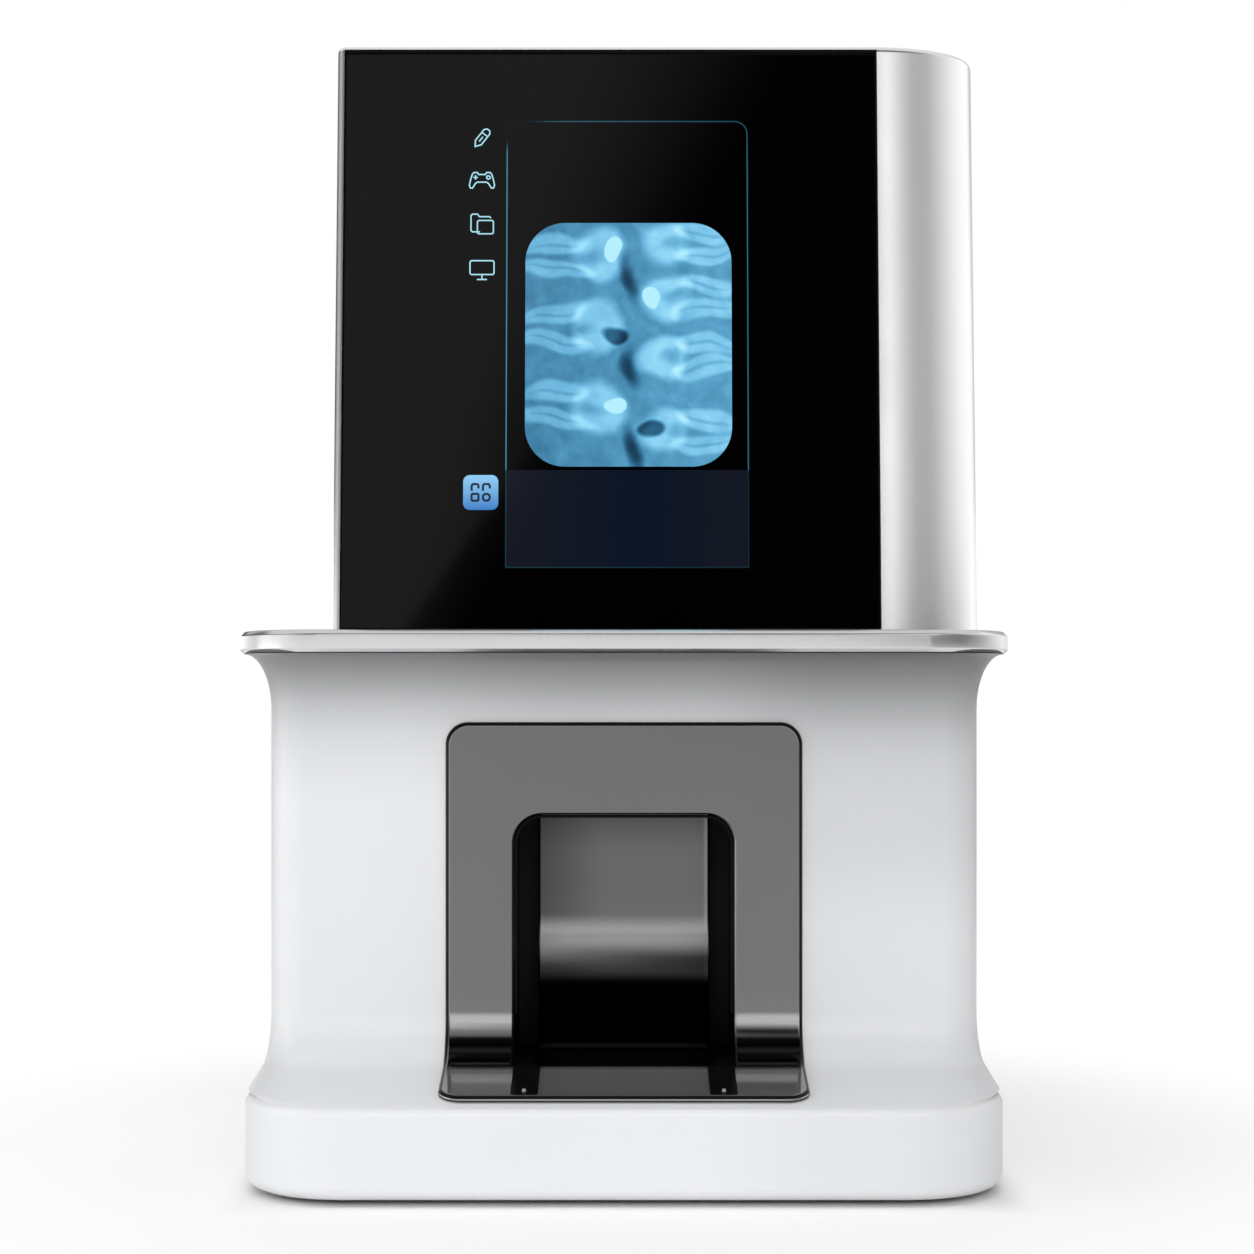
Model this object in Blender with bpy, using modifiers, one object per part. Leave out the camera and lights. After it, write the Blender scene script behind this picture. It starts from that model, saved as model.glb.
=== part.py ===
"""A desktop scanner for dental imaging plates, as an assembly of separate pieces.

Metres, +Z up, the front faces -Y. The origin is under the middle of the object, on the table.
"""
import math

import bmesh
import bpy
from mathutils import Matrix

# Clearances and cuts
GAP = 0.0003  # between pieces that touch
OVERRUN = 0.004  # how far a cut runs past the face that it opens
CORNER_STEPS = 6  # points on a rounded corner

# White housing: a low base and the body that rises from it, one moulding
WALL = 0.003
FOOT_HEIGHT = 0.002
FOOT_RADIUS = 0.009
FOOT_INSET = 0.030
BASE_WIDTH = 0.253
BASE_DEPTH = 0.250
BASE_CORNER = 0.035
BASE_BOTTOM_ROUND = 0.004
BASE_EDGE_HEIGHT = 0.0318  # top edge of the base
BASE_EDGE_ROUND = 0.0025
DECK_RISE = 0.0106  # rise of the deck from the base's edge to the body's wall
DECK_FLAT_SHARE = 0.69  # share of the deck in front of the curl up to the wall
CURL_RISE = 0.0142
BODY_WIDTH = 0.243
BODY_SETBACK = 0.0445  # body's front wall behind the base's front face
BODY_BACK_INSET = 0.012
BODY_CORNER = 0.013
BODY_TOP = 0.1789
FLARE_OUT = 0.0092
FLARE_HEIGHT = 0.0187

# Silver shelf between body and tower
SHELF_OVERHANG = 0.0115
SHELF_THICKNESS = 0.0075
SHELF_CHAMFER = 0.0013
SHELF_CORNER = 0.031
SHELF_SLOT_MARGIN = 0.003  # round the chassis plate that comes up through the shelf

# Tower with the screen
TOWER_LEFT_INSET = 0.0327  # from the shelf's left edge
TOWER_RIGHT_INSET = 0.0081
TOWER_FRONT_SETBACK = 0.020  # tower's front behind the shelf's front
TOWER_BACK_INSET = 0.0195
TOWER_HEIGHT = 0.2052
TOWER_LEAN = math.radians(4.4)
TOWER_CHAMFER = 0.0025
TOWER_CORNER_LEFT = 0.0025
TOWER_CORNER_REAR = 0.014
TOWER_SWEEP_WIDTH = 0.0365  # curved panel at the right, across
TOWER_SWEEP_DEPTH = 0.017  # and front to back
COVER_WALL = 0.0026
GLASS_THICKNESS = 0.003
CARRIER_DEPTH = 0.009
DISPLAY_WIDTH = 0.090
DISPLAY_HEIGHT = 0.164
DISPLAY_THICKNESS = 0.005
DISPLAY_CENTRE_X = 0.0015
DISPLAY_LOW = 0.0185  # display's lower edge above the tower's foot

# Recess, its liner, bezel and tray
RECESS_DEPTH = 0.051
RECESS_MARGIN = 0.0005  # recess wider than the bezel's opening, at each side
CEILING_LIFT = 0.0036  # ceiling above the opening's top edge
LINER_WALL = 0.0015
BEZEL_LEG = 0.023  # width of the bezel beside the opening
BEZEL_LINTEL = 0.0312  # height of the bezel above the opening
BEZEL_DROP = 0.0233  # bezel's top edge below the body's
BEZEL_THICKNESS = 0.0018
BEZEL_CORNER = 0.0076
BEZEL_FRONT_MARGIN = 0.0048  # from the base's front face to the tray's front edge
OPENING_WIDTH = 0.0750
OPENING_CORNER = 0.0098
CHANNEL_WIDTH = 0.0078  # dark gap at each side of the chute panel
PANEL_THICKNESS = 0.0012
PANEL_SETBACK = 0.042  # chute panel's face behind the body's front wall
PANEL_BEND_RADIUS = 0.0407  # of the curve from the upright panel forward into the floor

# Plate transport
LIFT_TRAVEL = 0.050  # how far the holder comes down into the recess
SLOT_SIDE_MARGIN = 0.0025
HOLDER_WIDTH = 0.062
HOLDER_THICKNESS = 0.0015
HOLDER_CLEARANCE = 0.0018  # between the holder and the chute panel
MAGNET_THICKNESS = 0.0008
MAGNET_WIDTH = 0.030
MAGNET_HEIGHT = 0.020
MAGNET_LIFT = 0.010  # above the holder's foot
CARRIAGE_DEPTH = 0.018
CARRIAGE_HEIGHT = 0.016
STOP_CLEARANCE = 0.001
ROD_RADIUS = 0.003
ROD_SPREAD = 0.030  # each guide rod from the middle
RUNNING_CLEARANCE = 0.00005
SCREW_RADIUS = 0.003
BEARING_RADIUS = 0.0055
BEARING_HEIGHT = 0.004
NUT_RADIUS = 0.006
NUT_FLANGE_RADIUS = 0.0085
NUT_FLANGE_THICKNESS = 0.003
BRACKET_THICKNESS = 0.008
ROD_MARGIN = 0.004  # carriage beyond each rod
BRACKET_MARGIN = 0.007  # bracket beyond each rod
BRACKET_SPREAD = 0.1205
CHASSIS_THICKNESS = 0.002
CHASSIS_MARGIN = 0.009  # chassis beyond each rod
CHASSIS_HEADROOM = 0.010
MOTOR_SIDE = 0.035
MOTOR_HEIGHT = 0.030
MOTOR_CHAMFER = 0.004

# Optics above the recess
BENCH_THICKNESS = 0.002
BENCH_WIDTH = 0.150
BENCH_DEPTH = 0.026
LASER_RADIUS = 0.006
LASER_LENGTH = 0.028
LASER_X = -0.052
MIRROR_MOTOR_RADIUS = 0.0065
MIRROR_MOTOR_HEIGHT = 0.014
MIRROR_SHAFT_RADIUS = 0.0012
MIRROR_SHAFT_HEIGHT = 0.003
MIRROR_WIDTH = 0.012
MIRROR_HEIGHT = 0.009
MIRROR_THICKNESS = 0.0015
GUIDE_BAR_WIDTH = 0.066
GUIDE_BAR_DEPTH = 0.006
GUIDE_BAR_HEIGHT = 0.012
TUBE_RADIUS = 0.009
TUBE_LENGTH = 0.034
TUBE_X = 0.055
LAMP_BOARD_WIDTH = 0.060
LAMP_BOARD_THICKNESS = 0.0016

# Electronics
PLATE_THICKNESS = 0.002
BOARD_THICKNESS = 0.0016
MAIN_BOARD_WIDTH = 0.110
MAIN_BOARD_HEIGHT = 0.095
MAIN_BOARD_LIFT = 0.007  # above the shelf
SINK_SIDE = 0.034
SINK_BASE = 0.003
SINK_FIN_HEIGHT = 0.010
SINK_FIN_THICKNESS = 0.002
SINK_FINS = 5
SUPPLY_WIDTH = 0.080
SUPPLY_DEPTH = 0.032
SUPPLY_HEIGHT = 0.060
SUPPLY_LIFT = 0.046  # above the bottom plate
SUPPLY_CHAMFER = 0.002

# Rear cover and what it carries
COVER_SIDE_INSET = 0.0215  # from the body's side
COVER_CLEARANCE = 0.003  # above the deck's curl
COVER_THICKNESS = 0.002
COVER_CORNER = 0.006
COVER_MARGIN = 0.006  # cover's overlap on the housing
SCREW_INSET = 0.008
SCREW_HEAD_RADIUS = 0.0028
SCREW_HEAD_HEIGHT = 0.0016
SCREW_SHANK_RADIUS = 0.0014
SCREW_SIDES = 16
SCREW_SHANK_LENGTH = 0.0045
BASE_SCREW_INSET = 0.016  # from the base's sides
SOCKET_LIFT = 0.0185  # row of sockets above the cover's lower edge
INLET_INSET = 0.028  # inlet's middle from the cover's left edge
INLET_WIDTH = 0.028
INLET_HEIGHT = 0.020
INLET_DEPTH = 0.022
INLET_CAVITY_WIDTH = 0.0240
INLET_CAVITY_HEIGHT = 0.0160
INLET_CAVITY_DEPTH = 0.0170
INLET_PIN_WIDTH = 0.0040
INLET_PIN_THICKNESS = 0.0020
INLET_PIN_LENGTH = 0.0100
INLET_PIN_SPREAD = 0.0070
FLANGE_THICKNESS = 0.0020
FLANGE_OUT = 0.0025
SWITCH_PITCH = 0.036  # from the inlet's middle to the switch's
SWITCH_WIDTH = 0.014
SWITCH_HEIGHT = 0.020
SWITCH_DEPTH = 0.016
ROCKER_WIDTH = 0.0100
ROCKER_HEIGHT = 0.0150
ROCKER_RADIUS = 0.0110
ROCKER_DISH = 0.0009  # how far its face is hollowed
ROCKER_TILT = math.radians(9.0)
USB_WIDTH = 0.0120
USB_HEIGHT = 0.0110
USB_CAVITY_WIDTH = 0.0086
USB_CAVITY_HEIGHT = 0.0078
LAN_INSET = 0.032  # network socket's middle from the cover's right edge
PORT_PITCH = 0.028  # between the middles of the two data sockets
LAN_WIDTH = 0.0160
LAN_HEIGHT = 0.0135
LAN_CAVITY_WIDTH = 0.0118
LAN_CAVITY_HEIGHT = 0.0084
PORT_DEPTH = 0.016
PORT_CAVITY_DEPTH = 0.012
FAN_DROP = 0.036  # fan's axis below the cover's upper edge
FAN_SIDE = 0.050
FAN_DEPTH = 0.010
FAN_BORE_RADIUS = 0.0232
FAN_HUB_RADIUS = 0.0095
FAN_TIP_RADIUS = 0.0220
FAN_ARM_THICKNESS = 0.0020
FAN_CLEARANCE = 0.0010
FAN_BLADES = 7
FAN_BLADE_THICKNESS = 0.0012
FAN_BLADE_PITCH = math.radians(35.0)
VENT_SLOTS = 7
VENT_PITCH = 0.0062
VENT_WIDTH = 0.0030
VENT_LENGTH = 0.040

# Planes and heights that follow from the sizes above
BASE_FRONT = -BASE_DEPTH / 2
BASE_BACK = BASE_DEPTH / 2
BODY_FRONT = BASE_FRONT + BODY_SETBACK
BODY_BACK = BASE_BACK - BODY_BACK_INSET
SHELF_LOW = BODY_TOP + GAP
SHELF_TOP = SHELF_LOW + SHELF_THICKNESS
SHELF_FRONT = BODY_FRONT - SHELF_OVERHANG
SHELF_BACK = BODY_BACK + SHELF_OVERHANG
SHELF_HALF = BODY_WIDTH / 2 + SHELF_OVERHANG
TOWER_LEFT = TOWER_LEFT_INSET - SHELF_HALF
TOWER_RIGHT = SHELF_HALF - TOWER_RIGHT_INSET
TOWER_LOW = SHELF_TOP + GAP
TOWER_TOP = TOWER_LOW + TOWER_HEIGHT
TOWER_FRONT = SHELF_FRONT + TOWER_FRONT_SETBACK
TOWER_BACK = SHELF_BACK - TOWER_BACK_INSET
SCREEN_LEFT = TOWER_LEFT + COVER_WALL + GAP
SCREEN_RIGHT = TOWER_RIGHT - TOWER_SWEEP_WIDTH - GAP
PLATE_TOP = FOOT_HEIGHT + PLATE_THICKNESS
BEZEL_WIDTH = OPENING_WIDTH + 2 * BEZEL_LEG
BEZEL_TOP = BODY_TOP - BEZEL_DROP
OPENING_TOP = BEZEL_TOP - BEZEL_LINTEL
RECESS_WIDTH = OPENING_WIDTH + 2 * RECESS_MARGIN
RECESS_CEILING = OPENING_TOP + CEILING_LIFT
OPENING_FRONT = BASE_FRONT + BODY_SETBACK * DECK_FLAT_SHARE  # bezel is open behind this line
RECESS_FLOOR = BASE_EDGE_HEIGHT + DECK_RISE * DECK_FLAT_SHARE + GAP + BEZEL_THICKNESS
LINER_FLOOR = RECESS_FLOOR - PANEL_THICKNESS - GAP  # floor of the channels beside the chute panel
LINER_LOW = LINER_FLOOR - LINER_WALL
PANEL_WIDTH = RECESS_WIDTH - 2 * CHANNEL_WIDTH
PANEL_FACE = BODY_FRONT + PANEL_SETBACK
HOLDER_BACK = PANEL_FACE - HOLDER_CLEARANCE
HOLDER_FRONT = HOLDER_BACK - HOLDER_THICKNESS
HOLDER_LOW = RECESS_CEILING + LINER_WALL / 2
CEILING_SLOT_WIDTH = HOLDER_WIDTH + 2 * SLOT_SIDE_MARGIN
CEILING_SLOT_DEPTH = HOLDER_THICKNESS + GAP + MAGNET_THICKNESS + 2 * HOLDER_CLEARANCE
BRACKET_LOW = RECESS_CEILING + LINER_WALL + GAP
BRACKET_HIGH = BRACKET_LOW + BRACKET_SPREAD
BRACKET_WIDTH = 2 * (ROD_SPREAD + ROD_RADIUS + BRACKET_MARGIN)
CARRIAGE_LOW = BRACKET_LOW + BRACKET_THICKNESS + STOP_CLEARANCE + LIFT_TRAVEL + GAP + NUT_FLANGE_THICKNESS
CARRIAGE_WIDTH = 2 * (ROD_SPREAD + ROD_RADIUS + ROD_MARGIN)
CARRIAGE_FRONT = HOLDER_BACK + GAP
CARRIAGE_BACK = CARRIAGE_FRONT + CARRIAGE_DEPTH
AXIS_Y = CARRIAGE_FRONT + CARRIAGE_DEPTH / 2  # rods and screw stand on this plane
CHASSIS_FRONT = AXIS_Y + MOTOR_SIDE / 2 + GAP
CHASSIS_BACK = CHASSIS_FRONT + CHASSIS_THICKNESS
BRACKET_FRONT = AXIS_Y - 2 * ROD_RADIUS
MOTOR_LOW = BRACKET_HIGH + BRACKET_THICKNESS + GAP
CHASSIS_WIDTH = 2 * (ROD_SPREAD + ROD_RADIUS + CHASSIS_MARGIN)
CHASSIS_TOP = MOTOR_LOW + MOTOR_HEIGHT + CHASSIS_HEADROOM
SHELF_SLOT_WIDTH = CHASSIS_WIDTH + 2 * SHELF_SLOT_MARGIN
MAIN_BOARD_LOW = SHELF_TOP + MAIN_BOARD_LIFT
SUPPLY_LOW = PLATE_TOP + SUPPLY_LIFT
BENCH_LOW = RECESS_CEILING + LINER_WALL + GAP
BENCH_TOP = BENCH_LOW + BENCH_THICKNESS
BENCH_FRONT = BODY_FRONT + WALL + GAP
BENCH_BACK = BENCH_FRONT + BENCH_DEPTH
COVER_WIDTH = BODY_WIDTH - 2 * COVER_SIDE_INSET
INLET_X = INLET_INSET - COVER_WIDTH / 2
SWITCH_X = INLET_X + SWITCH_PITCH
LAN_X = COVER_WIDTH / 2 - LAN_INSET
USB_X = LAN_X - PORT_PITCH
COVER_LOW = BASE_EDGE_HEIGHT + DECK_RISE + CURL_RISE + COVER_CLEARANCE
COVER_HIGH = BODY_TOP - FLARE_HEIGHT
SOCKET_LINE = COVER_LOW + SOCKET_LIFT
FAN_HEIGHT = COVER_HIGH - FAN_DROP
COVER_FACE = BODY_BACK + GAP + COVER_THICKNESS

COLOURS = {
    "white_moulding": ((0.86, 0.86, 0.87), 0.35, 0.0),
    "silver": ((0.72, 0.72, 0.73), 0.30, 1.0),
    "black_glass": ((0.004, 0.004, 0.005), 0.06, 0.0),
    "black_plastic": ((0.012, 0.012, 0.013), 0.40, 0.0),
    "dark_bezel": ((0.045, 0.045, 0.047), 0.25, 0.0),
    "grey_panel": ((0.060, 0.060, 0.062), 0.28, 0.0),
    "display": ((0.02, 0.05, 0.10), 0.10, 0.0),
    "rubber": ((0.02, 0.02, 0.02), 0.80, 0.0),
    "steel": ((0.55, 0.55, 0.56), 0.35, 1.0),
    "brass": ((0.72, 0.52, 0.22), 0.30, 1.0),
    "circuit_board": ((0.02, 0.16, 0.07), 0.45, 0.0),
    "clear_acrylic": ((0.80, 0.84, 0.86), 0.05, 0.0),
    "mirror": ((0.92, 0.92, 0.93), 0.02, 1.0),
    "felt": ((0.015, 0.015, 0.015), 0.95, 0.0),
}


def clear_scene():
    for obj in list(bpy.data.objects):
        bpy.data.objects.remove(obj, do_unlink=True)


def new_collection(name):
    group = bpy.data.collections.new(name)
    bpy.context.scene.collection.children.link(group)
    return group


clear_scene()
PARTS = new_collection("phosphor_plate_scanner")
CUTTERS = new_collection("cutters")


def finish_material(name):
    """The Principled material of one of the finishes above, made once."""
    if name in bpy.data.materials:
        return bpy.data.materials[name]
    colour, roughness, metallic = COLOURS[name]
    made = bpy.data.materials.new(name)
    made.use_nodes = True
    shader = made.node_tree.nodes["Principled BSDF"]
    shader.inputs["Base Color"].default_value = (*colour, 1.0)
    shader.inputs["Roughness"].default_value = roughness
    shader.inputs["Metallic"].default_value = metallic
    return made


def add_mesh(name, mesh, finish=None, smooth_angle=None):
    """An object in the parts, or, without a finish, a hidden cutter."""
    obj = bpy.data.objects.new(name, mesh)
    if finish is None:
        CUTTERS.objects.link(obj)
        obj.hide_render = True
        obj.display_type = "WIRE"
        return obj
    PARTS.objects.link(obj)
    mesh.materials.append(finish_material(finish))
    if smooth_angle is not None:
        mesh.shade_smooth()
        mesh.set_sharp_from_angle(angle=smooth_angle)
    return obj


def box(name, low, high, finish=None):
    """A box from its low corner to its high corner, its origin at the middle."""
    bm = bmesh.new()
    bmesh.ops.create_cube(bm, size=1.0)
    sides = [b - a for a, b in zip(low, high)]
    bmesh.ops.scale(bm, vec=sides, verts=bm.verts)
    mesh = bpy.data.meshes.new(name)
    bm.to_mesh(mesh)
    bm.free()
    obj = add_mesh(name, mesh, finish)
    obj.location = [(a + b) / 2 for a, b in zip(low, high)]
    return obj


def rod(name, radius, start, end, finish=None, segments=24):
    """A round bar between two points that differ along one axis."""
    length = math.dist(start, end)
    bm = bmesh.new()
    bmesh.ops.create_cone(
        bm, cap_ends=True, segments=segments, radius1=radius, radius2=radius, depth=length
    )
    mesh = bpy.data.meshes.new(name)
    bm.to_mesh(mesh)
    bm.free()
    obj = add_mesh(name, mesh, finish, math.radians(40))
    obj.location = [(a + b) / 2 for a, b in zip(start, end)]
    if start[0] != end[0]:
        obj.rotation_euler = (0, math.radians(90), 0)
    elif start[1] != end[1]:
        obj.rotation_euler = (math.radians(90), 0, 0)
    return obj


def loft(name, rings, finish=None, smooth_angle=None):
    """A closed solid through rings of points, each with as many points, anticlockwise seen from its end."""
    mesh = bpy.data.meshes.new(name)
    count = len(rings[0])
    points = [point for ring in rings for point in ring]
    faces = [tuple(reversed(range(count)))]
    for level in range(len(rings) - 1):
        low = level * count
        for i in range(count):
            j = (i + 1) % count
            faces.append((low + i, low + j, low + count + j, low + count + i))
    last = (len(rings) - 1) * count
    faces.append(tuple(range(last, last + count)))
    mesh.from_pydata(points, [], faces)
    mesh.validate()
    bm = bmesh.new()
    bm.from_mesh(mesh)
    bmesh.ops.recalc_face_normals(bm, faces=bm.faces)
    bm.to_mesh(mesh)
    bm.free()
    return add_mesh(name, mesh, finish, smooth_angle)


def flat_piece(name, outline, low, high, plane, finish=None):
    """A flat outline given its thickness: plane XY stands on Z, plane XZ on Y, plane YZ on X."""
    curve = bpy.data.curves.new(name, "CURVE")
    curve.dimensions = "2D"
    curve.fill_mode = "BOTH"
    curve.extrude = (high - low) / 2
    spline = curve.splines.new("POLY")
    spline.points.add(len(outline) - 1)
    for point, (u, v) in zip(spline.points, outline):
        point.co = (u, v, 0, 1)
    spline.use_cyclic_u = True
    guide = bpy.data.objects.new(name + "_outline", curve)
    CUTTERS.objects.link(guide)
    middle = (low + high) / 2
    if plane == "XY":
        guide.location = (0, 0, middle)
    elif plane == "XZ":
        guide.rotation_euler = (math.radians(90), 0, 0)
        guide.location = (0, middle, 0)
    else:
        guide.rotation_euler = (math.radians(90), 0, math.radians(90))
        guide.location = (middle, 0, 0)
    bpy.context.view_layer.update()
    graph = bpy.context.evaluated_depsgraph_get()
    mesh = bpy.data.meshes.new_from_object(guide.evaluated_get(graph))
    mesh.name = name
    bm = bmesh.new()
    bm.from_mesh(mesh)
    bmesh.ops.remove_doubles(bm, verts=bm.verts, dist=GAP / 100)
    bmesh.ops.recalc_face_normals(bm, faces=bm.faces)
    bm.to_mesh(mesh)
    bm.free()
    place = guide.matrix_world.copy()
    bpy.data.objects.remove(guide, do_unlink=True)
    obj = add_mesh(name, mesh, finish)
    obj.matrix_world = place
    return obj


def cut(obj, *cutters, operation="DIFFERENCE"):
    for cutter in cutters:
        boolean = obj.modifiers.new(cutter.name, "BOOLEAN")
        boolean.operation = operation
        boolean.solver = "EXACT"
        boolean.object = cutter
    return obj


def soften(obj, width, segments=2):
    bevel = obj.modifiers.new("edges", "BEVEL")
    bevel.width = width
    bevel.segments = segments
    bevel.limit_method = "ANGLE"
    return obj


def arc(centre, radius_u, radius_v, start, end, steps):
    """Points on a quarter of an ellipse, both ends among them."""
    turns = [start + (end - start) * i / steps for i in range(steps + 1)]
    return [
        (centre[0] + radius_u * math.cos(turn), centre[1] + radius_v * math.sin(turn))
        for turn in turns
    ]


def rounded_outline(left, right, front, back, radius, steps=CORNER_STEPS):
    """A rectangle with round corners, anticlockwise seen from above."""
    quarter = math.pi / 2
    corners = (
        ((right - radius, front + radius), -quarter),
        ((right - radius, back - radius), 0),
        ((left + radius, back - radius), quarter),
        ((left + radius, front + radius), 2 * quarter),
    )
    points = []
    for centre, start in corners:
        points += arc(centre, radius, radius, start, start + quarter, steps)
    return points


def at_height(outline, height):
    return [(x, y, height) for x, y in outline]


def deck_height(share):
    """Height of the housing between the base's edge (0) and the body's wall (1)."""
    height = BASE_EDGE_HEIGHT + DECK_RISE * share
    if share > DECK_FLAT_SHARE:
        curl = (share - DECK_FLAT_SHARE) / (1 - DECK_FLAT_SHARE)
        height += CURL_RISE * (1 - math.sqrt(max(0, 1 - curl * curl)))
    return height


def deck_shares(steps):
    """Places across the deck: its two ends, then closer and closer up the curl."""
    curl = 1 - DECK_FLAT_SHARE
    turns = [math.pi / 2 * i / steps for i in range(steps + 1)]
    return [0] + [DECK_FLAT_SHARE + curl * math.sin(turn) for turn in turns]


def housing_outline(share, inset=0):
    """Plan of the housing, from the base's edge (0) to the body's wall (1)."""
    half = BASE_WIDTH / 2 + (BODY_WIDTH - BASE_WIDTH) / 2 * share - inset
    front = BASE_FRONT + BODY_SETBACK * share + inset
    back = BASE_BACK - BODY_BACK_INSET * share - inset
    corner = BASE_CORNER + (BODY_CORNER - BASE_CORNER) * share - inset
    return rounded_outline(-half, half, front, back, corner)


def main_housing():
    rings = []
    for turn in (0, 30, 60, 90):
        angle = math.radians(turn)
        inset = BASE_BOTTOM_ROUND * (1 - math.sin(angle))
        height = FOOT_HEIGHT + BASE_BOTTOM_ROUND * (1 - math.cos(angle))
        rings.append(at_height(housing_outline(0, inset), height))
    for turn in (0, 30, 60):
        angle = math.radians(turn)
        inset = BASE_EDGE_ROUND * (1 - math.cos(angle))
        height = BASE_EDGE_HEIGHT - BASE_EDGE_ROUND * (1 - math.sin(angle))
        rings.append(at_height(housing_outline(0, inset), height))
    for share in deck_shares(5):
        if share > 0:
            rings.append(at_height(housing_outline(share), deck_height(share)))
        else:
            rings.append(at_height(housing_outline(0, BASE_EDGE_ROUND), BASE_EDGE_HEIGHT))
    for turn in (0, 20, 40, 55, 70, 90):
        angle = math.radians(turn)
        out = FLARE_OUT * (1 - math.cos(angle))
        height = BODY_TOP - FLARE_HEIGHT * (1 - math.sin(angle))
        rings.append(at_height(housing_outline(1, -out), height))
    housing = loft("main_housing", rings, "white_moulding", math.radians(35))

    under_deck = BASE_EDGE_HEIGHT - WALL
    hollow_rings = [
        at_height(housing_outline(0, WALL), FOOT_HEIGHT - OVERRUN),
        at_height(housing_outline(0, WALL), under_deck - BASE_EDGE_ROUND),
        at_height(housing_outline(DECK_FLAT_SHARE, WALL), deck_height(DECK_FLAT_SHARE) - WALL),
        at_height(housing_outline(1, WALL), deck_height(DECK_FLAT_SHARE)),
        at_height(housing_outline(1, WALL), BODY_TOP + OVERRUN),
    ]
    hollow = loft("housing_hollow", hollow_rings)

    liner_half = RECESS_WIDTH / 2 + LINER_WALL + GAP
    window = box(
        "housing_window",
        (-liner_half, OPENING_FRONT, LINER_LOW - GAP),
        (liner_half, BODY_FRONT + WALL + OVERRUN, RECESS_CEILING + LINER_WALL + GAP),
    )
    rear_window = box(
        "housing_rear_window",
        (-COVER_WIDTH / 2 + COVER_MARGIN, BODY_BACK - WALL - OVERRUN, COVER_LOW + COVER_MARGIN),
        (COVER_WIDTH / 2 - COVER_MARGIN, BODY_BACK + OVERRUN, COVER_HIGH - COVER_MARGIN),
    )
    return cut(housing, hollow, window, rear_window)


def add_screw(name, carriers, seat, outward):
    """A screw whose head sits off a face at seat, pointing outward, and the hole that it goes through."""
    def along(distance):
        return [a + b * distance for a, b in zip(seat, outward)]

    screw = rod(
        name, SCREW_HEAD_RADIUS, along(GAP), along(GAP + SCREW_HEAD_HEIGHT), "steel", SCREW_SIDES
    )
    shank = rod(
        f"{name}_shank",
        SCREW_SHANK_RADIUS,
        along(-SCREW_SHANK_LENGTH),
        along(SCREW_HEAD_HEIGHT / 2),
        segments=SCREW_SIDES,
    )
    cut(screw, shank, operation="UNION")
    hole = rod(
        f"{name}_hole",
        SCREW_SHANK_RADIUS + GAP,
        along(-SCREW_SHANK_LENGTH - OVERRUN),
        along(OVERRUN),
        segments=SCREW_SIDES,
    )
    for piece in carriers:
        cut(piece, hole)


def bottom_plate():
    """Steel plate that closes the base from below, with its four screws."""
    outline = housing_outline(0, WALL + GAP)
    plate = flat_piece("bottom_plate", outline, FOOT_HEIGHT, PLATE_TOP, "XY", "steel")
    across = BASE_WIDTH / 2 - BASE_SCREW_INSET
    along = BASE_DEPTH / 2 - BASE_SCREW_INSET - FOOT_RADIUS
    places = [(x, y) for x in (-across, across) for y in (-along, along)]
    for place, (x, y) in enumerate(places, 1):
        add_screw(f"base_screw_{place}", [plate], (x, y, FOOT_HEIGHT), (0, 0, -1))


def feet():
    across = BASE_WIDTH / 2 - FOOT_INSET
    along = BASE_DEPTH / 2 - FOOT_INSET
    places = {
        "foot_front_left": (-across, -along),
        "foot_front_right": (across, -along),
        "foot_rear_left": (-across, along),
        "foot_rear_right": (across, along),
    }
    for name, (x, y) in places.items():
        rod(name, FOOT_RADIUS, (x, y, 0), (x, y, FOOT_HEIGHT - GAP), "rubber")


def shelf():
    rings = []
    levels = (
        (SHELF_LOW, SHELF_CHAMFER),
        (SHELF_LOW + SHELF_CHAMFER, 0),
        (SHELF_TOP - SHELF_CHAMFER, 0),
        (SHELF_TOP, SHELF_CHAMFER),
    )
    for height, inset in levels:
        outline = rounded_outline(
            inset - SHELF_HALF,
            SHELF_HALF - inset,
            SHELF_FRONT + inset,
            SHELF_BACK - inset,
            SHELF_CORNER - inset,
            CORNER_STEPS + 3,
        )
        rings.append(at_height(outline, height))
    plate = loft("shelf", rings, "silver", math.radians(30))
    slot = box(
        "shelf_slot",
        (-SHELF_SLOT_WIDTH / 2, ceiling_slot(0, 0)[0][1], SHELF_LOW - OVERRUN),
        (SHELF_SLOT_WIDTH / 2, CHASSIS_BACK + GAP, SHELF_TOP + OVERRUN),
    )
    cut(plate, slot)


def tower_front(height):
    """Depth of the tower's leaning front at a height."""
    return TOWER_FRONT + (height - TOWER_LOW) * math.tan(TOWER_LEAN)


def tower_outline(height, inset):
    """Plan of the tower: a small front corner at the left, a wide sweep at the right."""
    left = TOWER_LEFT + inset
    right = TOWER_RIGHT - inset
    front = tower_front(height) + inset
    back = TOWER_BACK - inset
    rear = max(TOWER_CORNER_REAR - inset, GAP)
    near = max(TOWER_CORNER_LEFT - inset, GAP)
    sweep_across = TOWER_SWEEP_WIDTH - inset
    sweep_along = TOWER_SWEEP_DEPTH - inset / 2
    quarter = math.pi / 2
    points = arc((right - sweep_across, front + sweep_along), sweep_across, sweep_along, -quarter, 0, 10)
    points += arc((right - rear, back - rear), rear, rear, 0, quarter, CORNER_STEPS)
    points += arc((left + rear, back - rear), rear, rear, quarter, 2 * quarter, CORNER_STEPS)
    points += arc((left + near, front + near), near, near, 2 * quarter, 3 * quarter, 3)
    return points


def leaning_profile(near, far, low, high):
    """Side view of a slab that leans with the tower's front, near and far being depths behind it."""
    return [
        (tower_front(low) + near, low),
        (tower_front(low) + far, low),
        (tower_front(high) + far, high),
        (tower_front(high) + near, high),
    ]


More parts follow.
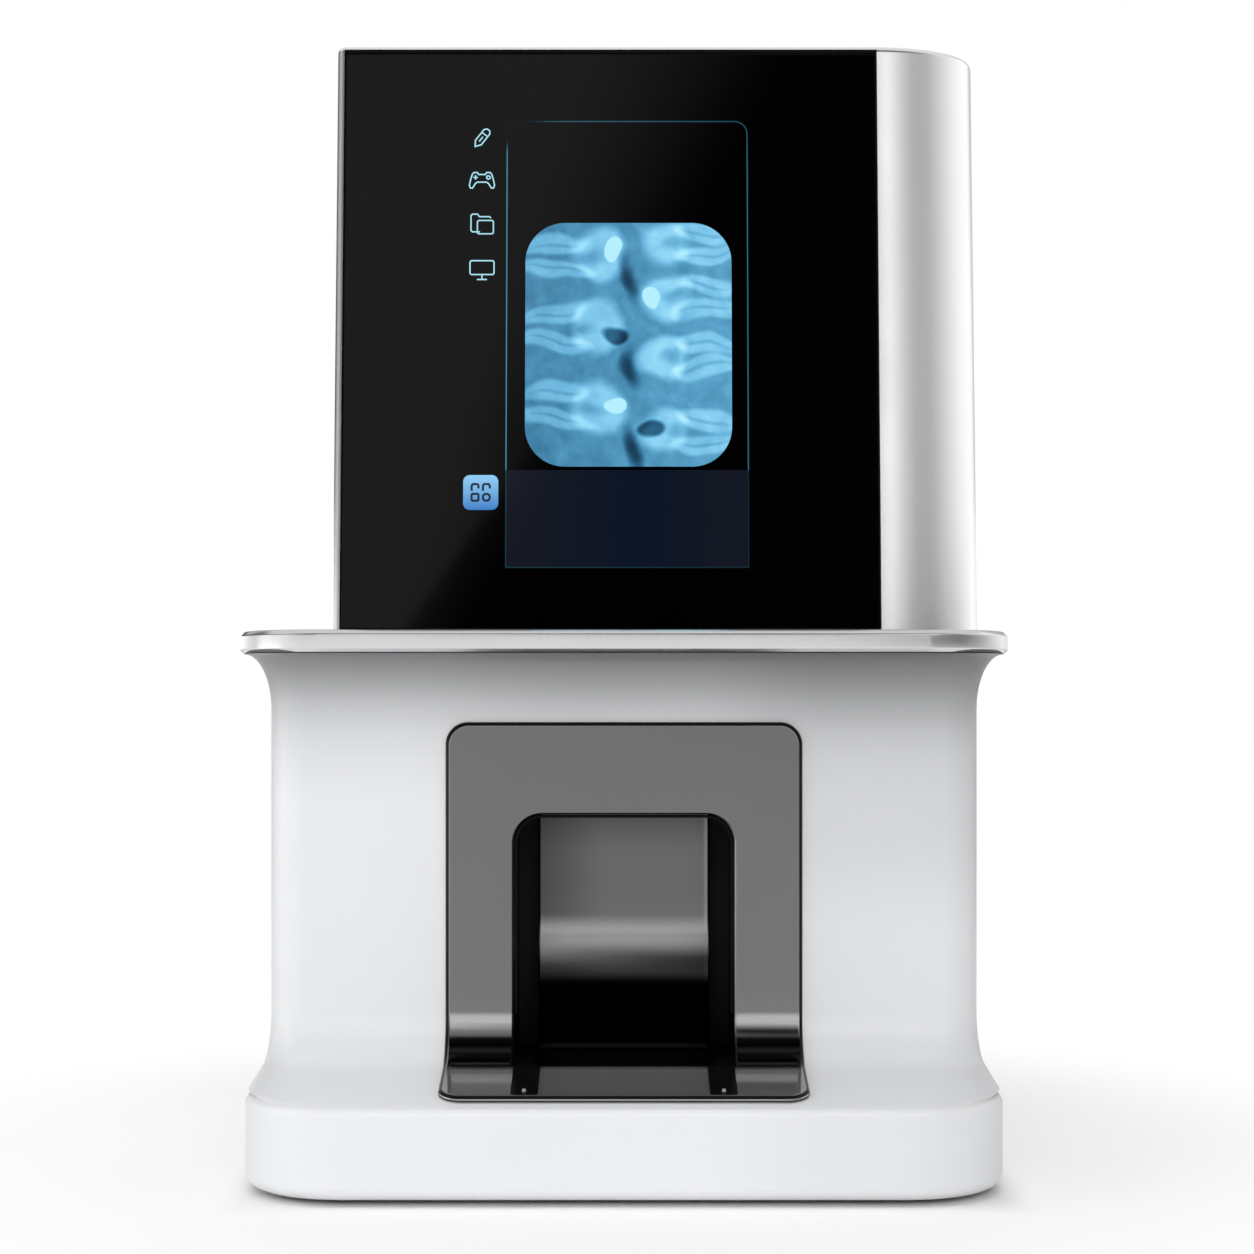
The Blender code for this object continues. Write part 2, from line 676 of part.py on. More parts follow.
def tower_cover():
    levels = (
        (TOWER_LOW, 0),
        (TOWER_TOP - TOWER_CHAMFER, 0),
        (TOWER_TOP, TOWER_CHAMFER),
    )
    rings = [at_height(tower_outline(height, inset), height) for height, inset in levels]
    cover = loft("tower_cover", rings, "silver", math.radians(25))
    hollow_rings = [
        at_height(tower_outline(height, COVER_WALL), height)
        for height in (TOWER_LOW - OVERRUN, TOWER_TOP - COVER_WALL)
    ]
    hollow = loft("tower_hollow", hollow_rings)
    mouth = flat_piece(
        "tower_mouth",
        leaning_profile(-OVERRUN, CARRIER_DEPTH + GAP, TOWER_LOW - OVERRUN, TOWER_TOP + OVERRUN),
        SCREEN_LEFT - GAP,
        SCREEN_RIGHT + GAP,
        "YZ",
    )
    cut(cover, hollow, mouth)


def front_glass():
    low = TOWER_LOW + GAP
    high = TOWER_TOP - TOWER_CHAMFER - GAP
    profile = leaning_profile(0, GLASS_THICKNESS, low, high)
    flat_piece("front_glass", profile, SCREEN_LEFT, SCREEN_RIGHT, "YZ", "black_glass")


def display_box(name, clearance, near, finish=None):
    """The display's slab, or with a clearance the pocket that it sits in."""
    low = TOWER_LOW + DISPLAY_LOW - clearance
    high = low + DISPLAY_HEIGHT + 2 * clearance
    far = GLASS_THICKNESS + GAP + GAP + DISPLAY_THICKNESS + clearance
    half = DISPLAY_WIDTH / 2 + clearance
    return flat_piece(
        name,
        leaning_profile(near, far, low, high),
        DISPLAY_CENTRE_X - half,
        DISPLAY_CENTRE_X + half,
        "YZ",
        finish,
    )


def screen_carrier():
    """Black frame behind the glass, with a lip over the glass's top edge."""
    low = TOWER_LOW + GAP
    glass_top = TOWER_TOP - TOWER_CHAMFER
    near = GLASS_THICKNESS + GAP
    profile = [
        (tower_front(low) + near, low),
        (tower_front(low) + CARRIER_DEPTH, low),
        (tower_front(TOWER_TOP) + CARRIER_DEPTH, TOWER_TOP),
        (tower_front(TOWER_TOP) + TOWER_CHAMFER, TOWER_TOP),
        (tower_front(glass_top), glass_top),
        (tower_front(glass_top) + near, glass_top),
    ]
    carrier = flat_piece("screen_carrier", profile, SCREEN_LEFT, SCREEN_RIGHT, "YZ", "black_plastic")
    cut(carrier, display_box("display_pocket", GAP, GLASS_THICKNESS - OVERRUN))


def display_module():
    display_box("display_module", 0, GLASS_THICKNESS + GAP + GAP, "display")


def recess_liner():
    """Black box of the recess, with cheeks that run forward under the curl of the bezel."""
    half = RECESS_WIDTH / 2
    back = BODY_FRONT + RECESS_DEPTH
    liner = box(
        "recess_liner",
        (-half - LINER_WALL, BODY_FRONT + GAP, LINER_LOW),
        (half + LINER_WALL, back + LINER_WALL, RECESS_CEILING + LINER_WALL),
        "black_plastic",
    )
    cheek = [(OPENING_FRONT + GAP, LINER_LOW), (BODY_FRONT + LINER_WALL, LINER_LOW)]
    cheek.append((BODY_FRONT + LINER_WALL, deck_height(1)))
    for share in reversed(deck_shares(5)[2:]):
        cheek.append((BASE_FRONT + BODY_SETBACK * share, deck_height(share)))
    cheek.append((OPENING_FRONT + GAP, deck_height(DECK_FLAT_SHARE)))
    cheeks = flat_piece("liner_cheeks", cheek, -half - LINER_WALL, half + LINER_WALL, "YZ")
    hollow = box(
        "liner_hollow", (-half, OPENING_FRONT - OVERRUN, LINER_FLOOR), (half, back, RECESS_CEILING)
    )
    slot = box("liner_slot", *ceiling_slot(RECESS_CEILING - OVERRUN, RECESS_CEILING + LINER_WALL + OVERRUN))
    cut(liner, cheeks, operation="UNION")
    cut(liner, hollow, slot)


def ceiling_slot(low, high):
    """Corners of the slot that the plate holder comes down through."""
    back = HOLDER_BACK + HOLDER_CLEARANCE
    return (
        (-CEILING_SLOT_WIDTH / 2, back - CEILING_SLOT_DEPTH, low),
        (CEILING_SLOT_WIDTH / 2, back, high),
    )


def bezel_path():
    """Side view of the surface that the bezel lies on: down the wall, round the curl, out along the deck."""
    wall_steps = [BEZEL_CORNER * (1 - math.cos(math.radians(turn))) for turn in (0, 22, 45, 67, 90)]
    path = [(BODY_FRONT, BEZEL_TOP - step) for step in wall_steps]
    for share in reversed(deck_shares(6)):
        if share > 0:
            path.append((BASE_FRONT + BODY_SETBACK * share, deck_height(share)))
    front = BEZEL_FRONT_MARGIN
    for turn in (90, 67, 45, 22, 0):
        margin = front + BEZEL_CORNER * (1 - math.cos(math.radians(turn)))
        path.append((BASE_FRONT + margin, deck_height(margin / BODY_SETBACK)))
    return path


def path_normals(path):
    """Unit vectors square to the path, out of the surface."""
    normals = []
    for i in range(len(path)):
        before = path[max(i - 1, 0)]
        after = path[min(i + 1, len(path) - 1)]
        along = (after[0] - before[0], after[1] - before[1])
        length = math.hypot(*along)
        normals.append((along[1] / length, -along[0] / length))
    return normals


def bezel_half_widths(path):
    """Half the bezel's width at each point of its path, drawn in at the two round ends."""
    widths = [BEZEL_WIDTH / 2] * len(path)
    for i, turn in enumerate((0, 22, 45, 67)):
        drawn_in = BEZEL_CORNER * (1 - math.sin(math.radians(turn)))
        widths[i] -= drawn_in
        widths[-1 - i] -= drawn_in
    return widths


def recess_bezel():
    """Dark frame and tray in one bent piece, with an opening for the recess."""
    path = bezel_path()
    normals = path_normals(path)
    low, high = GAP, GAP + BEZEL_THICKNESS
    rings = []
    for (y, z), (ny, nz), half in zip(path, normals, bezel_half_widths(path)):
        outer = (y + ny * high, z + nz * high)
        inner = (y + ny * low, z + nz * low)
        rings.append([(-half, *outer), (half, *outer), (half, *inner), (-half, *inner)])
    bezel = loft("recess_bezel", rings, "dark_bezel", math.radians(30))
    half = OPENING_WIDTH / 2
    corner = OPENING_CORNER
    quarter = math.pi / 2
    top = arc((half - corner, OPENING_TOP - corner), corner, corner, 0, quarter, CORNER_STEPS)
    top += arc((corner - half, OPENING_TOP - corner), corner, corner, quarter, 2 * quarter, CORNER_STEPS)
    low_edge = LINER_LOW - OVERRUN
    outline = [(-half, low_edge), (half, low_edge)] + top
    cut(bezel, flat_piece("bezel_opening", outline, OPENING_FRONT, BODY_FRONT + OVERRUN, "XZ"))


def chute_panel():
    """Grey plate at the back of the recess: upright, then curving forward into the floor, up to the tray."""
    centre = (PANEL_FACE - PANEL_BEND_RADIUS, RECESS_FLOOR + PANEL_BEND_RADIUS)
    face = PANEL_BEND_RADIUS
    rear = PANEL_BEND_RADIUS + PANEL_THICKNESS
    top = RECESS_CEILING - GAP
    lip = OPENING_FRONT + GAP
    profile = [(PANEL_FACE, top)]
    profile += arc(centre, face, face, 0, -math.pi / 2, 10)
    profile += [(lip, RECESS_FLOOR), (lip, RECESS_FLOOR - PANEL_THICKNESS)]
    profile += arc(centre, rear, rear, -math.pi / 2, 0, 10)
    profile.append((PANEL_FACE + PANEL_THICKNESS, top))
    flat_piece("chute_panel", profile, -PANEL_WIDTH / 2, PANEL_WIDTH / 2, "YZ", "grey_panel")


def chassis():
    box(
        "chassis_plate",
        (-CHASSIS_WIDTH / 2, CHASSIS_FRONT, PLATE_TOP + GAP),
        (CHASSIS_WIDTH / 2, CHASSIS_BACK, CHASSIS_TOP),
        "steel",
    )


def guide_bracket(name, low):
    """Block that holds the rods' ends and lets the screw turn."""
    bracket = box(
        name,
        (-BRACKET_WIDTH / 2, BRACKET_FRONT, low),
        (BRACKET_WIDTH / 2, CHASSIS_FRONT - GAP, low + BRACKET_THICKNESS),
        "steel",
    )
    for part, x, radius in (
        ("left", -ROD_SPREAD, ROD_RADIUS + GAP),
        ("right", ROD_SPREAD, ROD_RADIUS + GAP),
        ("screw", 0, SCREW_RADIUS + GAP),
    ):
        hole = rod(
            f"{name}_{part}_hole",
            radius,
            (x, AXIS_Y, low - OVERRUN),
            (x, AXIS_Y, low + BRACKET_THICKNESS + OVERRUN),
        )
        cut(bracket, hole)
    return bracket


def screw_bearing(name, bracket, bracket_low):
    """Plain ring let into a bracket from below, in which the lead screw turns."""
    seat = rod(
        f"{name}_seat",
        BEARING_RADIUS + GAP,
        (0, AXIS_Y, bracket_low - OVERRUN),
        (0, AXIS_Y, bracket_low + BEARING_HEIGHT + GAP),
    )
    cut(bracket, seat)
    top = bracket_low + BEARING_HEIGHT
    ring = rod(name, BEARING_RADIUS, (0, AXIS_Y, bracket_low), (0, AXIS_Y, top), "brass")
    bore = rod(
        f"{name}_bore",
        SCREW_RADIUS + RUNNING_CLEARANCE,
        (0, AXIS_Y, bracket_low - OVERRUN),
        (0, AXIS_Y, top + OVERRUN),
    )
    cut(ring, bore)


def guide_rods():
    for name, x in (("guide_rod_left", -ROD_SPREAD), ("guide_rod_right", ROD_SPREAD)):
        top = BRACKET_HIGH + BRACKET_THICKNESS
        rod(name, ROD_RADIUS, (x, AXIS_Y, BRACKET_LOW), (x, AXIS_Y, top), "steel")


def lead_screw():
    rod("lead_screw", SCREW_RADIUS, (0, AXIS_Y, BRACKET_LOW), (0, AXIS_Y, MOTOR_LOW - GAP), "steel")


def lift_motor():
    half = MOTOR_SIDE / 2
    motor = box(
        "lift_motor",
        (-half, AXIS_Y - half, MOTOR_LOW),
        (half, AXIS_Y + half, MOTOR_LOW + MOTOR_HEIGHT),
        "steel",
    )
    soften(motor, MOTOR_CHAMFER, 1)


def carriage():
    block = box(
        "carriage_block",
        (-CARRIAGE_WIDTH / 2, CARRIAGE_FRONT, CARRIAGE_LOW),
        (CARRIAGE_WIDTH / 2, CARRIAGE_BACK, CARRIAGE_LOW + CARRIAGE_HEIGHT),
        "black_plastic",
    )
    for part, x, radius in (
        ("left", -ROD_SPREAD, ROD_RADIUS + RUNNING_CLEARANCE),
        ("right", ROD_SPREAD, ROD_RADIUS + RUNNING_CLEARANCE),
        ("nut", 0, NUT_RADIUS + GAP),
    ):
        hole = rod(
            f"carriage_{part}_hole",
            radius,
            (x, AXIS_Y, CARRIAGE_LOW - OVERRUN),
            (x, AXIS_Y, CARRIAGE_LOW + CARRIAGE_HEIGHT + OVERRUN),
        )
        cut(block, hole)


def lead_nut():
    """Flanged brass nut: its barrel in the carriage, its flange under it."""
    nut = rod(
        "lead_nut",
        NUT_RADIUS,
        (0, AXIS_Y, CARRIAGE_LOW - GAP - NUT_FLANGE_THICKNESS),
        (0, AXIS_Y, CARRIAGE_LOW + CARRIAGE_HEIGHT),
        "brass",
    )
    flange = rod(
        "nut_flange",
        NUT_FLANGE_RADIUS,
        (0, AXIS_Y, CARRIAGE_LOW - GAP - NUT_FLANGE_THICKNESS),
        (0, AXIS_Y, CARRIAGE_LOW - GAP),
    )
    bore = rod(
        "nut_bore",
        SCREW_RADIUS + RUNNING_CLEARANCE,
        (0, AXIS_Y, CARRIAGE_LOW - OVERRUN - NUT_FLANGE_THICKNESS),
        (0, AXIS_Y, CARRIAGE_LOW + CARRIAGE_HEIGHT + OVERRUN),
    )
    cut(nut, flange, operation="UNION")
    cut(nut, bore)


def plate_holder():
    """Thin tongue that carries the imaging plate, with a magnet pad near its foot."""
    box(
        "plate_holder",
        (-HOLDER_WIDTH / 2, HOLDER_FRONT, HOLDER_LOW),
        (HOLDER_WIDTH / 2, HOLDER_BACK, CARRIAGE_LOW + CARRIAGE_HEIGHT),
        "grey_panel",
    )
    magnet_low = HOLDER_LOW + MAGNET_LIFT
    box(
        "magnet_pad",
        (-MAGNET_WIDTH / 2, HOLDER_FRONT - GAP - MAGNET_THICKNESS, magnet_low),
        (MAGNET_WIDTH / 2, HOLDER_FRONT - GAP, magnet_low + MAGNET_HEIGHT),
        "black_plastic",
    )


def slot_seal():
    """Felt frame round the slot in the liner's ceiling, which keeps room light out."""
    low, high = ceiling_slot(BENCH_LOW, BENCH_LOW + LINER_WALL)
    margin = 2 * LINER_WALL
    seal = box(
        "slot_seal",
        (low[0] - margin, low[1] - margin / 2, low[2]),
        (high[0] + margin, BRACKET_FRONT - GAP, high[2]),
        "felt",
    )
    clear_low, clear_high = ceiling_slot(BENCH_LOW - OVERRUN, BENCH_LOW + LINER_WALL + OVERRUN)
    cut(seal, box("seal_slot", clear_low, clear_high))


def optics():
    """Bench on the liner's ceiling with the laser, the mirror's motor, the light guide and its tube."""
    box(
        "optics_bench",
        (-BENCH_WIDTH / 2, BENCH_FRONT, BENCH_LOW),
        (BENCH_WIDTH / 2, BENCH_BACK, BENCH_TOP),
        "steel",
    )
    middle = (BENCH_FRONT + BENCH_BACK) / 2
    seat = BENCH_TOP + GAP
    rod(
        "laser_module",
        LASER_RADIUS,
        (LASER_X - LASER_LENGTH / 2, middle, seat + LASER_RADIUS),
        (LASER_X + LASER_LENGTH / 2, middle, seat + LASER_RADIUS),
        "brass",
        20,
    )
    rod(
        "mirror_motor",
        MIRROR_MOTOR_RADIUS,
        (0, mirror_axis(), seat),
        (0, mirror_axis(), seat + MIRROR_MOTOR_HEIGHT),
        "steel",
    )
    rod(
        "photomultiplier",
        TUBE_RADIUS,
        (TUBE_X - TUBE_LENGTH / 2, middle, seat + TUBE_RADIUS),
        (TUBE_X + TUBE_LENGTH / 2, middle, seat + TUBE_RADIUS),
        "steel",
        20,
    )
    box(
        "light_guide",
        (-GUIDE_BAR_WIDTH / 2, BENCH_BACK - GUIDE_BAR_DEPTH, seat),
        (GUIDE_BAR_WIDTH / 2, BENCH_BACK, seat + GUIDE_BAR_HEIGHT),
        "clear_acrylic",
    )
    box(
        "erase_lamp_board",
        (-LAMP_BOARD_WIDTH / 2, BENCH_BACK - GUIDE_BAR_DEPTH, seat + GUIDE_BAR_HEIGHT + GAP),
        (LAMP_BOARD_WIDTH / 2, BENCH_BACK, seat + GUIDE_BAR_HEIGHT + GAP + LAMP_BOARD_THICKNESS),
        "circuit_board",
    )


def mirror_axis():
    return BENCH_FRONT + MIRROR_MOTOR_RADIUS + GAP


def scan_mirror():
    """Small mirror on the motor's shaft, which swings the beam across the plate."""
    low = BENCH_TOP + GAP + MIRROR_MOTOR_HEIGHT + GAP
    foot = low + MIRROR_SHAFT_HEIGHT
    mirror = box(
        "scan_mirror",
        (-MIRROR_WIDTH / 2, mirror_axis() - MIRROR_THICKNESS / 2, foot),
        (MIRROR_WIDTH / 2, mirror_axis() + MIRROR_THICKNESS / 2, foot + MIRROR_HEIGHT),
        "mirror",
    )
    shaft = rod(
        "mirror_shaft",
        MIRROR_SHAFT_RADIUS,
        (0, mirror_axis(), low),
        (0, mirror_axis(), foot + MIRROR_HEIGHT / 2),
        segments=16,
    )
    cut(mirror, shaft, operation="UNION")


def main_board():
    low = MAIN_BOARD_LOW
    box(
        "main_board",
        (-MAIN_BOARD_WIDTH / 2, CHASSIS_BACK + GAP, low),
        (MAIN_BOARD_WIDTH / 2, CHASSIS_BACK + GAP + BOARD_THICKNESS, low + MAIN_BOARD_HEIGHT),
        "circuit_board",
    )


def heat_sink():
    near = CHASSIS_BACK + 2 * GAP + BOARD_THICKNESS
    middle = MAIN_BOARD_LOW + MAIN_BOARD_HEIGHT / 2
    half = SINK_SIDE / 2
    sink = box(
        "heat_sink",
        (-half, near, middle - half),
        (half, near + SINK_BASE + SINK_FIN_HEIGHT, middle + half),
        "silver",
    )
    pitch = (SINK_SIDE - SINK_FIN_THICKNESS) / (SINK_FINS - 1)
    tips = near + SINK_BASE + SINK_FIN_HEIGHT
    for place in range(SINK_FINS - 1):
        start = -half + SINK_FIN_THICKNESS + pitch * place
        end = start + pitch - SINK_FIN_THICKNESS
        channel = box(
            f"sink_channel_{place + 1}",
            (start, near + SINK_BASE, middle - half - OVERRUN),
            (end, tips + OVERRUN, middle + half + OVERRUN),
        )
        cut(sink, channel)


def power_supply():
    supply = box(
        "power_supply",
        (-SUPPLY_WIDTH / 2, CHASSIS_BACK + GAP, SUPPLY_LOW),
        (SUPPLY_WIDTH / 2, CHASSIS_BACK + GAP + SUPPLY_DEPTH, SUPPLY_LOW + SUPPLY_HEIGHT),
        "steel",
    )
    soften(supply, SUPPLY_CHAMFER, 1)


def cover_screw_places():
    across = COVER_WIDTH / 2 - COVER_MARGIN / 2
    return [
        (x, z)
        for x in (-across, across)
        for z in (COVER_LOW + SCREW_INSET, COVER_HIGH - SCREW_INSET)
    ]


def cover_hole(name, x, z, width, height):
    """A cutter for a hole through the rear cover."""
    return box(
        name,
        (x - width / 2 - GAP, BODY_BACK - OVERRUN, z - height / 2 - GAP),
        (x + width / 2 + GAP, COVER_FACE + OVERRUN, z + height / 2 + GAP),
    )


def rear_cover(housing):
    """Service cover with the vents, the holes for the sockets and four screws into the housing."""
    half = COVER_WIDTH / 2
    outline = rounded_outline(-half, half, COVER_LOW, COVER_HIGH, COVER_CORNER, 4)
    cover = flat_piece("rear_cover", outline, BODY_BACK + GAP, COVER_FACE, "XZ", "white_moulding")
    cut(
        cover,
        cover_hole("inlet_hole", INLET_X, SOCKET_LINE, INLET_WIDTH, INLET_HEIGHT),
        cover_hole("switch_hole", SWITCH_X, SOCKET_LINE, SWITCH_WIDTH, SWITCH_HEIGHT),
        cover_hole("usb_hole", USB_X, SOCKET_LINE, USB_WIDTH, USB_HEIGHT),
        cover_hole("lan_hole", LAN_X, SOCKET_LINE, LAN_WIDTH, LAN_HEIGHT),
    )
    for slot in range(VENT_SLOTS):
        height = FAN_HEIGHT + (slot - (VENT_SLOTS - 1) / 2) * VENT_PITCH
        cut(cover, cover_hole(f"vent_{slot + 1}", 0, height, VENT_LENGTH, VENT_WIDTH))
    for place, (x, z) in enumerate(cover_screw_places(), 1):
        add_screw(f"rear_screw_{place}", [cover, housing], (x, COVER_FACE, z), (0, 1, 0))


def socket_body(name, x, width, height, depth, flange, finish):
    """A socket's block behind the cover, with a flange on the cover's face when it has one."""
    block = box(
        name,
        (x - width / 2, COVER_FACE - depth, SOCKET_LINE - height / 2),
        (x + width / 2, COVER_FACE + GAP + FLANGE_THICKNESS, SOCKET_LINE + height / 2),
        finish,
    )
    if flange:
        rim = box(
            f"{name}_flange",
            (x - width / 2 - flange, COVER_FACE + GAP, SOCKET_LINE - height / 2 - flange),
            (x + width / 2 + flange, COVER_FACE + GAP + FLANGE_THICKNESS, SOCKET_LINE + height / 2 + flange),
        )
        cut(block, rim, operation="UNION")
    return block


def socket_cavity(name, x, width, height, depth):
    face = COVER_FACE + GAP + FLANGE_THICKNESS
    return box(
        name,
        (x - width / 2, face - depth, SOCKET_LINE - height / 2),
        (x + width / 2, face + OVERRUN, SOCKET_LINE + height / 2),
    )


def power_inlet():
    inlet = socket_body(
        "power_inlet", INLET_X, INLET_WIDTH, INLET_HEIGHT, INLET_DEPTH, FLANGE_OUT, "black_plastic"
    )
    cavity = socket_cavity(
        "inlet_cavity", INLET_X, INLET_CAVITY_WIDTH, INLET_CAVITY_HEIGHT, INLET_CAVITY_DEPTH
    )
    cut(inlet, cavity)
    floor = COVER_FACE + GAP + FLANGE_THICKNESS - INLET_CAVITY_DEPTH
    for place in (-1, 0, 1):
        x = INLET_X + place * INLET_PIN_SPREAD
        pin = box(
            f"inlet_pin_{place + 2}",
            (x - INLET_PIN_THICKNESS / 2, floor - OVERRUN / 2, SOCKET_LINE - INLET_PIN_WIDTH / 2),
            (x + INLET_PIN_THICKNESS / 2, floor + INLET_PIN_LENGTH, SOCKET_LINE + INLET_PIN_WIDTH / 2),
        )
        cut(inlet, pin, operation="UNION")


def ports():
    usb = socket_body("usb_port", USB_X, USB_WIDTH, USB_HEIGHT, PORT_DEPTH, 0, "steel")
    cut(usb, socket_cavity("usb_cavity", USB_X, USB_CAVITY_WIDTH, USB_CAVITY_HEIGHT, PORT_CAVITY_DEPTH))
    lan = socket_body("lan_port", LAN_X, LAN_WIDTH, LAN_HEIGHT, PORT_DEPTH, 0, "steel")
    cut(lan, socket_cavity("lan_cavity", LAN_X, LAN_CAVITY_WIDTH, LAN_CAVITY_HEIGHT, PORT_CAVITY_DEPTH))


def rocker_axis():
    return COVER_FACE + GAP + FLANGE_THICKNESS - ROCKER_RADIUS / 2


def power_switch():
    """Switch body with a pocket, and the rocker that tips in it."""
    body = socket_body(
        "switch_body", SWITCH_X, SWITCH_WIDTH, SWITCH_HEIGHT, SWITCH_DEPTH, FLANGE_OUT / 2, "black_plastic"
    )
    pocket_across = ROCKER_WIDTH / 2 + GAP
    pocket_along = ROCKER_HEIGHT / 2 + 2 * GAP
    pocket = box(
        "switch_pocket",
        (SWITCH_X - pocket_across, rocker_axis() - ROCKER_RADIUS / 2, SOCKET_LINE - pocket_along),
        (SWITCH_X + pocket_across, COVER_FACE + FLANGE_THICKNESS + OVERRUN, SOCKET_LINE + pocket_along),
    )
    cut(body, pocket)
    spread = math.asin(ROCKER_HEIGHT / 2 / ROCKER_RADIUS) - ROCKER_TILT
    half = ROCKER_RADIUS * math.sin(spread)
    dip = ROCKER_RADIUS * math.cos(spread)
    upright = [(-ROCKER_RADIUS / 2 + 2 * GAP, 0), (dip, -half), (dip - ROCKER_DISH, 0), (dip, half)]
    cosine, sine = math.cos(-ROCKER_TILT), math.sin(-ROCKER_TILT)
    outline = [(y * cosine - z * sine, y * sine + z * cosine) for y, z in upright]
    rocker = flat_piece("power_rocker", outline, -ROCKER_WIDTH / 2, ROCKER_WIDTH / 2, "YZ", "black_plastic")
    rocker.location = (SWITCH_X, rocker_axis(), SOCKET_LINE)


def fan_frame():
    """Square frame with a round bore, and a hub on three arms that carries the rotor."""
    half = FAN_SIDE / 2
    near = BODY_BACK - FAN_DEPTH
    frame = box(
        "fan_frame", (-half, near, FAN_HEIGHT - half), (half, BODY_BACK, FAN_HEIGHT + half), "black_plastic"
    )
    bore = rod(
        "fan_bore",
        FAN_BORE_RADIUS,
        (0, near - OVERRUN, FAN_HEIGHT),
        (0, BODY_BACK + OVERRUN, FAN_HEIGHT),
        segments=32,
    )
    cut(frame, bore)
    hub = rod(
        "fan_stator", FAN_HUB_RADIUS, (0, near, FAN_HEIGHT), (0, near + FAN_ARM_THICKNESS, FAN_HEIGHT)
    )
    cut(frame, hub, operation="UNION")
    reach = FAN_BORE_RADIUS + FAN_ARM_THICKNESS
    for place in range(3):
        arm = box(
            f"fan_arm_{place + 1}",
            (0, near, FAN_HEIGHT - FAN_ARM_THICKNESS / 2),
            (reach, near + FAN_ARM_THICKNESS, FAN_HEIGHT + FAN_ARM_THICKNESS / 2),
        )
        turn = Matrix.Rotation(math.tau * place / 3 + math.pi / 2, 4, "Y")
        arm.matrix_world = (
            Matrix.Translation((0, near + FAN_ARM_THICKNESS / 2, FAN_HEIGHT))
            @ turn
            @ Matrix.Translation((reach / 2, 0, 0))
        )
        cut(frame, arm, operation="UNION")


def fan_rotor():
    """Hub on its axis with blades set at a pitch."""
    near = BODY_BACK - FAN_DEPTH + FAN_ARM_THICKNESS + GAP
    far = BODY_BACK - FAN_CLEARANCE
    middle = (near + far) / 2
    rotor = rod("fan_rotor", FAN_HUB_RADIUS, (0, near, FAN_HEIGHT), (0, far, FAN_HEIGHT), "black_plastic")
    length = FAN_TIP_RADIUS - FAN_HUB_RADIUS + FAN_CLEARANCE
    chord = (far - near - 2 * FAN_CLEARANCE) / math.sin(FAN_BLADE_PITCH)
    for place in range(FAN_BLADES):
        blade = box(
            f"fan_blade_{place + 1}",
            (-length / 2, -FAN_BLADE_THICKNESS / 2, -chord / 2),
            (length / 2, FAN_BLADE_THICKNESS / 2, chord / 2),
        )
        turn = Matrix.Rotation(math.tau * place / FAN_BLADES, 4, "Y")
        pitch = Matrix.Rotation(-FAN_BLADE_PITCH, 4, "X")
        out = Matrix.Translation((FAN_TIP_RADIUS - length / 2, 0, 0))
        blade.matrix_world = Matrix.Translation((0, middle, FAN_HEIGHT)) @ turn @ out @ pitch
        cut(rotor, blade, operation="UNION")


white_housing = main_housing()
bottom_plate()
feet()
shelf()
tower_cover()
front_glass()
screen_carrier()
display_module()
recess_liner()
recess_bezel()
chute_panel()
chassis()
lower_bracket = guide_bracket("guide_bracket_lower", BRACKET_LOW)
upper_bracket = guide_bracket("guide_bracket_upper", BRACKET_HIGH)
screw_bearing("screw_bearing_lower", lower_bracket, BRACKET_LOW)
screw_bearing("screw_bearing_upper", upper_bracket, BRACKET_HIGH)
guide_rods()
lead_screw()
lift_motor()
carriage()
lead_nut()
plate_holder()
slot_seal()
optics()
scan_mirror()
main_board()
heat_sink()
power_supply()
rear_cover(white_housing)
power_inlet()
ports()
power_switch()
fan_frame()
fan_rotor()
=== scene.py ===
import math

import bmesh
import bpy
from mathutils import Matrix, Vector


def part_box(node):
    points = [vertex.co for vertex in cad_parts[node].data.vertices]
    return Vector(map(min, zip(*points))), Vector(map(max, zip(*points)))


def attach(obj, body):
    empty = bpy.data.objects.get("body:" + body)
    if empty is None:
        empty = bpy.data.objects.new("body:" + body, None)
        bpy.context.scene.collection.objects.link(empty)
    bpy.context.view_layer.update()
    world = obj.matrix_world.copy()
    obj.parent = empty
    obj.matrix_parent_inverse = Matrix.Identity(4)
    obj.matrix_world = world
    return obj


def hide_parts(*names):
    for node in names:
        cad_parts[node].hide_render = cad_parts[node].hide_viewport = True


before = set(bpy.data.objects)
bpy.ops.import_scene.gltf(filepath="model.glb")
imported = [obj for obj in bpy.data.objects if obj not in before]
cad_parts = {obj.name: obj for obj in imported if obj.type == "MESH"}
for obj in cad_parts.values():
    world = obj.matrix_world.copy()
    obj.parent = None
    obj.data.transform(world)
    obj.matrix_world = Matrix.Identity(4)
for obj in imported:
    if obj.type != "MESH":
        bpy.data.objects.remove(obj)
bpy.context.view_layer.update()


# The camera stands where the photographer's did: level, a little lower than the shelf, with the
# front of the camera raised so that upright edges stay upright. Rows and columns are pixels of the
# photograph, counted from its top left corner.
PHOTO_SIDE = 1254
AHEAD_COLUMN = 624
AHEAD_ROW = 715
FOCAL_PIXELS = 2300
CAMERA_PLACE = Vector((0, -0.861, 0.158))
SENSOR_WIDTH = 36


def set_up(name, data):
    """A new object with its data, in the scene."""
    made = bpy.data.objects.new(name, data)
    bpy.context.scene.collection.objects.link(made)
    return made


